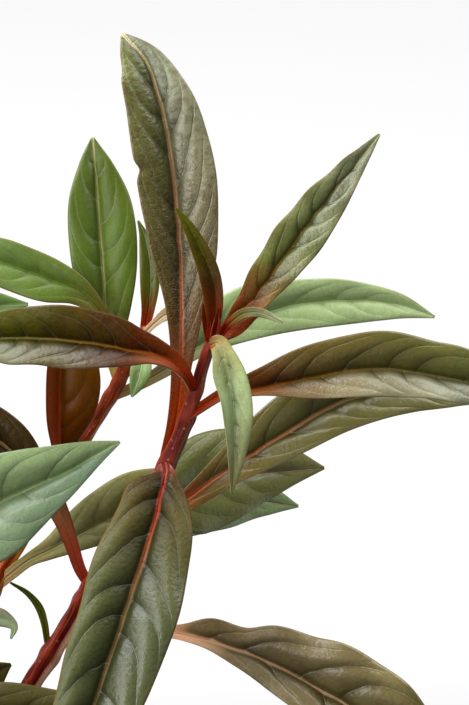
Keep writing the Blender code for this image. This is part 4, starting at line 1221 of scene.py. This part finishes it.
@dataclass
class Stem:
    """A stem: its line and radius up from the compost, the stretch that is seen, and its finish.

    Lengths are in millimetres. It starts buried, its four ridges twist a little over twist_length, it
    wavers, and it swells over joint_length where a leaf starts within joint_reach of its line. The lit flank,
    a pale stripe of painted reflected light on the side set by the view's direction, comes in and goes out at
    the four angles, and fades over the two shares of the length given for its end.
    """

    name: str
    slot: str
    finish: StemFinish
    planted: list[Row]
    seen: list[Row] = field(default_factory=list)
    sides: int = 40
    cuts: int = 230
    buried: float = 5.0
    joint_reach: float = 3.2
    joint_length: float = 1.9
    swelling: float = 0.2
    ridge: float = 0.15
    twist_length: float = 31.0
    waver: float = 0.03
    tip_share: float = 0.015
    lit_flank_angles: tuple[float, ...] = (0.35, 0.5, 1.0, 1.2)
    lit_flank_end: tuple[float, float] = (0.6, 0.74)

    def table(self) -> np.ndarray:
        """Reads the stem's rows.

        Returns:
            Rows of x, y, z and radius in millimetres from the compost to the tip.
        """
        planted = np.array(self.planted, float)
        if not self.seen:
            return planted
        seen = np.array(self.seen, float)
        return np.vstack([planted, np.column_stack([sight(seen[:, :3]), seen[:, 3]])])

    def foot(self, share: float) -> np.ndarray:
        """The place on the stem's line at a share of its length."""
        return smooth_rows(self.table(), np.array([share]))[0, :3]

    def joints(self, feet: np.ndarray) -> np.ndarray:
        """Finds where leaves join the stem.

        Args:
            feet: The places in millimetres from which leaves grow.

        Returns:
            How far along the stem, in millimetres, each leaf near it starts.
        """
        shares = np.linspace(0, 1, 500)
        line = smooth_rows(self.table(), shares)[:, :3]
        gaps = np.linalg.norm(line[None] - feet[:, None], axis=2)
        near = gaps.min(axis=1) < self.joint_reach
        return shares[gaps.argmin(axis=1)][near] * length_of(self.table())

    def tube(self) -> bpy.types.Object:
        """Makes the stem's mesh upright: a closed tube of radius 1 and height 1, cut across many times.

        Returns:
            The tube.
        """
        shape = bmesh.new()
        bmesh.ops.create_cone(shape, cap_ends=True, segments=self.sides, radius1=1, radius2=1, depth=1)
        upright = [e for e in shape.edges if abs(e.verts[0].co.z - e.verts[1].co.z) > 0.5]
        bmesh.ops.subdivide_edges(shape, edges=upright, cuts=self.cuts, use_grid_fill=True)
        return add_piece(f"{self.name}_cane", shape)

    def build(self, feet: np.ndarray) -> None:
        """Sets the tube's points along the stem, ridged and swollen at its joints, and finishes it.

        Args:
            feet: The places in millimetres from which leaves grow.
        """
        made = self.tube()
        tube = points_of(made.data)
        share, angle = tube[:, 2] + 0.5, np.arctan2(tube[:, 1], tube[:, 0])
        table = self.table()
        line = np.vstack([table[:1] - [[0, 0, self.buried, 0]], table])
        rows = smooth_rows(line, share)
        step = smooth_rows(line, share + SHORT_STEP) - smooth_rows(line, share - SHORT_STEP)
        ahead = unit_rows(step[:, :3])
        aside = unit_rows(np.cross(ahead, SIGHT_TOWARD))
        over = np.cross(aside, ahead)

        run = share * length_of(line)
        joints = self.joints(feet) + self.buried
        joint = hump(run[:, None] - joints, self.joint_length).max(axis=1, initial=0.0)
        twist = 0.7 + 0.5 * np.sin(run / self.twist_length)
        ridge = np.abs(np.cos(2 * (angle + twist))) ** 3
        past = ((share - 1 + self.tip_share) / self.tip_share).clip(0, 1)
        waver = self.waver * np.sin(run * 0.9 + 3 * angle)
        uneven = 0.9 + self.ridge * ridge + waver + self.swelling * joint
        radius = rows[:, 3] * uneven * np.sqrt(1 - past**2)
        out = aside * np.cos(angle)[:, None] + over * np.sin(angle)[:, None]
        set_points(made.data, (rows[:, :3] + out * radius[:, None]) * MM)

        # The lit flank: a stripe of painted reflected light, placed by the angle around the stem from the
        # side set by the view.
        start, full, thin, gone = self.lit_flank_angles
        lit_flank = ease(start, full, angle) * (1 - ease(thin, gone, angle))
        lit_flank = lit_flank * (1 - 0.85 * ease(*self.lit_flank_end, share))
        set_marks(made.data, {"along": share, "edge": ridge**2, "node": joint, "lit_flank": lit_flank})
        set_grain(made.data, run, angle * rows[:, 3], len(self.name))
        finish_piece(made, self.finish.material())
        carry(made, self.name)


# The third name of each is the painted highlight on its ridges, the fourth the painted reflected light of its
# flank.
CRIMSON = StemFinish("crimson_stem", "crimson claret claret maroon", "clay", "blush")
ORANGE = StemFinish("orange_stem", "rust ember ember ember", "amber", "amber")
GROWN_STEM = StemFinish("grown_stem", "wine mahogany mahogany copper", "clay", "salmon")
STEMS = [
    Stem("main_stem", "stem", CRIMSON, [(13, 8, 71.2, 2.0), (21, 12.5, 94, 2.0)], [
        (-45, -73.4, -6, 2.2), (-40.6, -66.6, -5.5, 2.2), (-35.3, -57.8, -5, 2.1), (-30.9, -50.1, -4, 2.0),
        (-24, -39.1, -3, 1.9), (-15.1, -25, -2, 1.85), (-11.4, -17, -1.5, 1.75), (-8.5, -8.4, -1, 1.4),
        (-6.2, -0.5, -0.5, 1.2), (-4.6, 4.5, -0.2, 0.5),
    ]),
    Stem("back_stem", "stem_back", ORANGE, [(4, 27, 71.2, 2.0), (10, 34, 92, 2.0)], [
        (-52.5, -51, -30, 1.9), (-43, -35, -31.5, 1.8), (-33, -19, -33, 1.7), (-25.5, -6.5, -34, 1.5),
        (-21, 3, -35, 1.2), (-19.6, 6, -35.3, 0.6),
    ]),
    Stem("left_stem", "stem", GROWN_STEM, [
        (-12, 6, 71.2, 2), (-16, 9.5, 95, 2), (-18.5, 12.5, 125, 1.8), (-21, 16, 155, 1.5),
        (-24, 20, 188, 0.7),
    ]),
    Stem("front_stem", "stem", GROWN_STEM, [
        (-23, -13, 71.2, 1.9), (-31, -19, 95, 1.9), (-37, -23, 120, 1.7), (-43, -26, 145, 1.4),
        (-48, -28, 166, 0.7),
    ]),
    Stem("side_stem", "stem", GROWN_STEM, [
        (14, -17, 71.2, 1.7), (21, -26, 90, 1.6), (29, -34, 108, 1.3), (36, -40, 123, 0.6),
    ]),
]


def grown_leaf(stem: Stem, number: int, row: Row) -> Leaf:
    """Makes a hidden leaf that grows straight from its stem.

    Args:
        stem: The stem that carries it.
        number: The leaf's place up the stem, from 1.
        row: Its row of GROWN_LEAVES.

    Returns:
        The leaf, with rows along its own bearing.
    """
    share, bearing, length, half_width, rise, droop, sweep = row
    turn, tilt = math.radians(bearing), math.radians(rise)
    level = np.array([math.cos(turn), math.sin(turn), 0.0])
    ahead = level * math.cos(tilt) + np.array([0, 0, math.sin(tilt)])
    aside = np.array([-math.sin(turn), math.cos(turn), 0.0])
    above, foot = np.cross(ahead, aside), stem.foot(share)

    def place(spots: np.ndarray) -> np.ndarray:
        """Turns millimetres along, aside and above the leaf's bearing into places in the pot's frame."""
        return foot + spots[:, :1] * ahead + spots[:, 1:2] * aside + spots[:, 2:] * above

    rows = []
    for p in GROWN_SHARES:
        reach = half_width * blade_share(p) + GROWN_STALK_REACH * (1 - p)
        rows.append((length * p, sweep * p * p, droop * 4 * p * (1 - p), reach, reach))
    quilt = Quilt(
        gap=4.5 + 0.5 * half_width, bulge=0.025 * half_width, wave=0.04 * half_width,
        wave_length=0.25 * length,
    )
    name = f"{stem.name.replace('stem', 'leaf')}_{number}"
    return Leaf(name, GROWN_LIFTS, GROWN, rows, quilt, place=place)


def turned(name: str, outline: list[tuple[float, float]], steps: int) -> bpy.types.Object:
    """Turns an outline of radius and height in millimetres about the upright axis.

    Args:
        name: The new piece's name.
        outline: The outline from the axis back to the axis.
        steps: How many steps the full turn takes.

    Returns:
        The closed piece.
    """
    shape = bmesh.new()
    dots = [shape.verts.new((r * MM, 0, z * MM)) for r, z in outline]
    line = dots + [shape.edges.new(pair) for pair in zip(dots, dots[1:])]
    bmesh.ops.spin(
        shape, geom=line, cent=(0, 0, 0), axis=(0, 0, 1), angle=math.tau, steps=steps, use_merge=True
    )
    bmesh.ops.remove_doubles(shape, verts=shape.verts, dist=1e-6)
    bmesh.ops.recalc_face_normals(shape, faces=shape.faces)
    return add_piece(name, shape)


@dataclass(frozen=True)
class PotFinish:
    """Black plastic with dust and dried splashes."""

    plastic: str = "#121213"
    dust: str = "#4c4a45"
    splash: str = "#5c5850"
    relief_depth: float = 0.00003

    def material(self) -> bpy.types.Material:
        """Makes the shader.

        Returns:
            The material.
        """
        sheet = Sheet("pot_plastic")
        dust = sheet.cloud(sheet.spot(), 42.0, 6.0)
        splash = sheet.cloud(sheet.spot(), 160.0)
        body = sheet.mix(sheet.times(sheet.rise(dust, 0.42, 0.72), 0.35), self.plastic, self.dust)
        body = sheet.mix(sheet.times(sheet.rise(splash, 0.62, 0.72), 0.25), body, self.splash)
        gloss = sheet.scaled(sheet.rise(dust, 0.35, 0.7), 0.25, 0.4)
        relief = sheet.bump(splash, self.relief_depth, 0.4)
        return sheet.finish(Base_Color=body, Roughness=gloss, Normal=relief)


@dataclass
class Pot:
    """The round nursery pot with its stepped rim band and drain holes, in millimetres."""

    height: float = 78.0
    base: float = 31.0
    rim: float = 45.0
    wall: float = 1.3
    floor: float = 1.8
    band: float = 11.0
    step: float = 1.4
    wall_rings: int = 18
    spin_steps: int = 144
    drains: int = 4
    drain_radius: float = 3.0
    drain_circle: float = 21.0
    drain_depth: float = 10.0
    drain_sides: int = 40
    crease: float = 35.0
    finish: PotFinish = PotFinish()

    def radius(self, height: float) -> float:
        """Its outer radius at a height, below the rim band."""
        return self.base + (self.rim - self.step - self.base) * height / self.height

    def outline(self) -> list[tuple[float, float]]:
        """Draws half of the pot cut through its middle.

        Returns:
            Radius and height from the middle below, round the rim and back to the middle of the floor.
        """
        rim, top, band = self.rim, self.height, self.height - self.band
        foot = [(0.0, 0.0), (self.base - 1.0, 0.0), (self.base - 0.3, 0.3), (self.base, 1.0)]
        outside = [(self.radius(z), z) for z in np.linspace(4, band, self.wall_rings)]
        lip = [
            (self.radius(band) + self.step, band + 0.6), (rim - 0.3, top - 3.0), (rim, top - 0.8),
            (rim - 0.2, top - 0.2), (rim - 0.8, top), (rim - 2.3, top), (rim - 2.7, top - 0.3),
            (self.radius(band) - self.wall + 0.2, band + 0.6),
        ]
        inside = [(self.radius(z) - self.wall, z) for z in np.linspace(band, self.floor, self.wall_rings)]
        return [*foot, *outside, *lip, *inside, (0.0, self.floor)]

    def drill(self, number: int) -> bpy.types.Object:
        """Makes the rod that cuts one drain hole.

        Args:
            number: The hole's number, from 0.

        Returns:
            The rod.
        """
        turn = math.radians(45) + math.tau * number / self.drains
        across, radius = self.drain_circle * MM, self.drain_radius * MM
        spot = Matrix.Translation((across * math.cos(turn), across * math.sin(turn), 0))
        shape = bmesh.new()
        bmesh.ops.create_cone(
            shape, cap_ends=True, segments=self.drain_sides, radius1=radius, radius2=radius,
            depth=self.drain_depth * MM, matrix=spot,
        )
        return add_piece(f"drain_{number}", shape)

    def build(self) -> None:
        """Turns the pot and cuts its drain holes."""
        made = turned("pot_shell", self.outline(), self.spin_steps)
        drills = [self.drill(number) for number in range(self.drains)]
        for drill in drills:
            cut = made.modifiers.new("drain", "BOOLEAN")
            cut.object, cut.solver = drill, "EXACT"
        done = bpy.data.meshes.new_from_object(made.evaluated_get(bpy.context.evaluated_depsgraph_get()))
        made.modifiers.clear()
        made.data = done
        for drill in drills:
            bpy.data.objects.remove(drill)
        done.materials.clear()
        finish_piece(made, self.finish.material())
        done.set_sharp_from_angle(angle=math.radians(self.crease))
        carry(made, "pot")


@dataclass(frozen=True)
class PeatFinish:
    """Damp peat, darker and lighter by the shade that each crumb keeps."""

    damp: str = "#1c120b"
    dry: str = "#3c281a"
    crumb: str = "#6a4a30"
    fibre: str = "#7c6248"
    relief_depth: float = 0.0008
    rough: float = 0.75

    def material(self) -> bpy.types.Material:
        """Makes the shader.

        Returns:
            The material.
        """
        sheet = Sheet("compost_peat")
        coarse, fine = sheet.cloud(sheet.spot(), 260.0, 6.0), sheet.cloud(sheet.spot(), 1500.0, 4.0)
        body = sheet.mix(sheet.rise(coarse, 0.35, 0.65), self.damp, self.dry)
        body = sheet.mix(sheet.mark("shade"), body, self.crumb)
        body = sheet.mix(sheet.times(sheet.rise(fine, 0.6, 0.75), 0.4), body, self.fibre)
        relief = sheet.bump(sheet.scaled(fine, 0.5, coarse), self.relief_depth, 0.9)
        return sheet.finish(Base_Color=body, Roughness=self.rough, Normal=relief)


@dataclass
class Compost:
    """The compost: a rough turned bed with crumbs and bark on top, in millimetres.

    Past shoulder, a share of its reach, the top falls to edge_height. Its lumps and its grit are noise of
    those scales, roughness high, and crumbs keep a margin from the edge.
    """

    pot: Pot
    low: float = 2.1
    top: float = 69.5
    edge_height: float = 66.0
    gap: float = 0.65
    shoulder: float = 0.9
    roughness: float = 0.9
    lump_scale: float = 0.09
    grit_scale: float = 0.7
    margin: float = 2.5
    rings: int = 70
    spin_steps: int = 200
    batches: int = 20
    crumbs: int = 45
    crumb_size: tuple[float, float] = (0.35, 1.45)
    seed: int = 11
    finish: PeatFinish = PeatFinish()

    def reach(self, height: float) -> float:
        """The bed's radius at a height."""
        return self.pot.radius(height) - self.pot.wall - self.gap

    def height(self, x: float, y: float) -> float:
        """Reads the bed's uneven top, which falls at its edge.

        Args:
            x: How far across, in millimetres.
            y: How far back.

        Returns:
            The height in millimetres.
        """
        past = math.hypot(x, y) / self.reach(self.edge_height) - self.shoulder
        fall = max(0.0, past / (1 - self.shoulder))
        rough = noise.fractal(Vector((x, y, 3)) * self.lump_scale, 1.0, 2.0, 4)
        rough = max(-1.0, min(1.0, rough + 0.35 * noise.noise(Vector((x, y, 9)) * self.grit_scale)))
        return self.top - (self.top - self.edge_height) * fall**2 + self.roughness * rough * (1 - fall)

    def build(self) -> None:
        """Turns the bed, roughens its top and strews the crumbs."""
        edge = self.reach(self.edge_height)
        outline = [(0.0, self.low), (self.reach(self.low), self.low), (edge, self.edge_height - 0.5)]
        outline += [(edge * share, self.top) for share in np.linspace(0.999, 0, self.rings)]
        bed = turned("compost_bed", outline, self.spin_steps)
        places = points_of(bed.data) / MM
        for place in places:
            if place[2] > self.edge_height:
                place[2] = self.height(place[0], place[1])
        set_points(bed.data, places * MM)
        set_marks(bed.data, {"shade": np.zeros(len(places))})
        crumbs, shades = self.strew(edge - self.margin)
        set_marks(crumbs.data, {"shade": shades})
        peat = self.finish.material()
        for made, node in ((bed, "soil"), (crumbs, None)):
            finish_piece(made, peat)
            carry(made, node)

    def crumb(self, shape: bmesh.types.BMesh, reach: float, pick: np.random.Generator) -> list[float]:
        """Lays one crumb on the bed.

        Args:
            shape: The bmesh to add it to.
            reach: How far from the middle it may lie, in millimetres.
            pick: The source of random numbers.

        Returns:
            Its shade, once for each of its points.
        """
        far, turn = reach * math.sqrt(pick.random()), math.tau * pick.random()
        x, y = far * math.cos(turn), far * math.sin(turn)
        least, most = self.crumb_size
        size = least + (most - least) * pick.random() ** 3
        spot = Matrix.Translation(Vector((x, y, self.height(x, y) + 0.25 * size)) * MM)
        lie = Matrix.Rotation(math.tau * pick.random(), 4, "Z") @ Matrix.Rotation(0.5 * pick.random(), 4, "X")
        squash = Matrix.Diagonal((size * (1 + 1.4 * pick.random()) * MM, size * MM, 0.55 * size * MM, 1))
        made = bmesh.ops.create_icosphere(shape, subdivisions=2, radius=1.0, matrix=spot @ lie @ squash)
        shade = 0.1 + 0.9 * pick.random() ** 2
        for vert in made["verts"]:
            vert.co += noise.noise_vector(vert.co * 900) * 0.28 * size * MM
        return [shade] * len(made["verts"])

    def strew(self, reach: float) -> tuple[bpy.types.Object, np.ndarray]:
        """Strews crumbs and bark over the bed, in batches because one growing bmesh is slow.

        Args:
            reach: How far from the middle they may lie, in millimetres.

        Returns:
            The crumbs as one object, and a shade for each of its points.
        """
        pick = np.random.default_rng(self.seed)
        heap, shades = bmesh.new(), []
        for _ in range(self.batches):
            shape = bmesh.new()
            for _ in range(self.crumbs):
                shades += self.crumb(shape, reach, pick)
            batch = bpy.data.meshes.new("batch")
            shape.to_mesh(batch)
            shape.free()
            heap.from_mesh(batch)
            bpy.data.meshes.remove(batch)
        return add_piece("compost_crumbs", heap), np.array(shades)


@dataclass(frozen=True)
class Lamp:
    """A square soft light: degrees to the left of the camera, degrees up, watts, and metres."""

    name: str
    turn: float
    height: float
    power: float
    size: float = 0.8
    distance: float = 1.0

    def build(self) -> None:
        """Adds the light, facing the shoot."""
        light = bpy.data.lights.new(self.name, "AREA")
        light.shape, light.size, light.energy = "SQUARE", self.size, self.power
        made = bpy.data.objects.new(self.name, light)
        bpy.context.scene.collection.objects.link(made)
        way, up = math.radians(self.turn), math.radians(self.height)
        level = math.cos(up)
        toward = Vector((-math.sin(way) * level, -math.cos(way) * level, math.sin(up)))
        made.location = Vector(SIGHT_CENTRE * MM) + toward * self.distance
        made.rotation_euler = (-toward).to_track_quat("-Z", "Y").to_euler()


@dataclass(frozen=True)
class FloorFinish:
    """White floor that glows behind the plant, so that it stays even into the distance."""

    matt: str = "#5a5a5a"
    near_glow: str = "#2c2c2c"
    glow: float = 0.81
    rough: float = 0.9

    def material(self) -> bpy.types.Material:
        """Makes the shader.

        Returns:
            The material.
        """
        sheet = Sheet("floor_white")
        back = sheet.add("ShaderNodeSeparateXYZ", {0: sheet.spot()}).outputs["Y"]
        glow = sheet.mix(sheet.rise(back, 0.0, 0.22), self.near_glow, WHITE)
        return sheet.finish(
            Base_Color=colour(self.matt), Roughness=self.rough, Emission_Color=glow,
            Emission_Strength=self.glow,
        )


@dataclass
class Studio:
    """The white room of the photograph: its camera, floor, lights and surroundings, in metres."""

    floor_size: float = 6.0
    sight_end: float = 20.0
    room_light: float = 0.2
    backdrop: float = 0.97
    floor_finish: FloorFinish = FloorFinish()
    lamps: tuple[Lamp, ...] = (
        Lamp("rear_left", 130, 50, 13.5), Lamp("left", 64, 30, 9.6), Lamp("rear_right", -130, 50, 8.8),
        Lamp("front", 0, 20, 0.8),
    )

    def camera(self) -> None:
        """Sets the camera up for the photographed view."""
        view = bpy.data.cameras.new("view")
        view.sensor_width = SENSOR
        view.lens = SENSOR * SIGHT_DISTANCE / (FRAME_HEIGHT * MM_PER_PIXEL)
        view.clip_end = self.sight_end
        made = bpy.data.objects.new("view", view)
        bpy.context.scene.collection.objects.link(made)
        spot = (SIGHT_CENTRE + SIGHT_TOWARD * SIGHT_DISTANCE) * MM
        turn = Matrix((SIGHT_RIGHT, SIGHT_UP, SIGHT_TOWARD)).transposed().to_4x4()
        made.matrix_world = Matrix.Translation(spot) @ turn
        bpy.context.scene.camera = made

    def floor(self) -> None:
        """Lays the floor."""
        shape = bmesh.new()
        bmesh.ops.create_grid(shape, x_segments=2, y_segments=2, size=self.floor_size)
        made = add_piece("floor", shape)
        made.data.materials.append(self.floor_finish.material())

    def surroundings(self) -> None:
        """Sets a room that is white to the camera and gives little light of its own."""
        world = bpy.data.worlds.new("room")
        world.use_nodes = True
        bpy.context.scene.world = world
        tree = world.node_tree
        ray = tree.nodes.new("ShaderNodeLightPath")
        white = tree.nodes.new("ShaderNodeMix")
        white.data_type = "RGBA"
        for number, light in ((6, self.room_light), (7, self.backdrop)):
            white.inputs[number].default_value = (light, light, light, 1)
        tree.links.new(ray.outputs["Is Camera Ray"], white.inputs[0])
        tree.links.new(white.outputs[2], tree.nodes["Background"].inputs["Color"])

    def build(self) -> None:
        """Builds the whole room."""
        self.camera()
        self.floor()
        self.surroundings()
        for lamp in self.lamps:
            lamp.build()
        bpy.context.scene.view_settings.view_transform = "Standard"


def main() -> None:
    """Builds the plant's looks on its frame."""
    logging.basicConfig(level=logging.INFO, format="%(message)s")
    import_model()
    leaves = list(SEEN_LEAVES)
    for stem in STEMS:
        leaves += [grown_leaf(stem, i, row) for i, row in enumerate(GROWN_LEAVES[stem.name], 1)]
    feet = np.vstack([leaf.middle(np.zeros(1), np.zeros(1))[0] for leaf in leaves])
    pot = Pot()
    pot.build()
    Compost(pot).build()
    for stem in STEMS:
        stem.build(feet)
    for leaf in leaves:
        leaf.build()
    Studio().build()


if __name__ == "__main__":
    main()
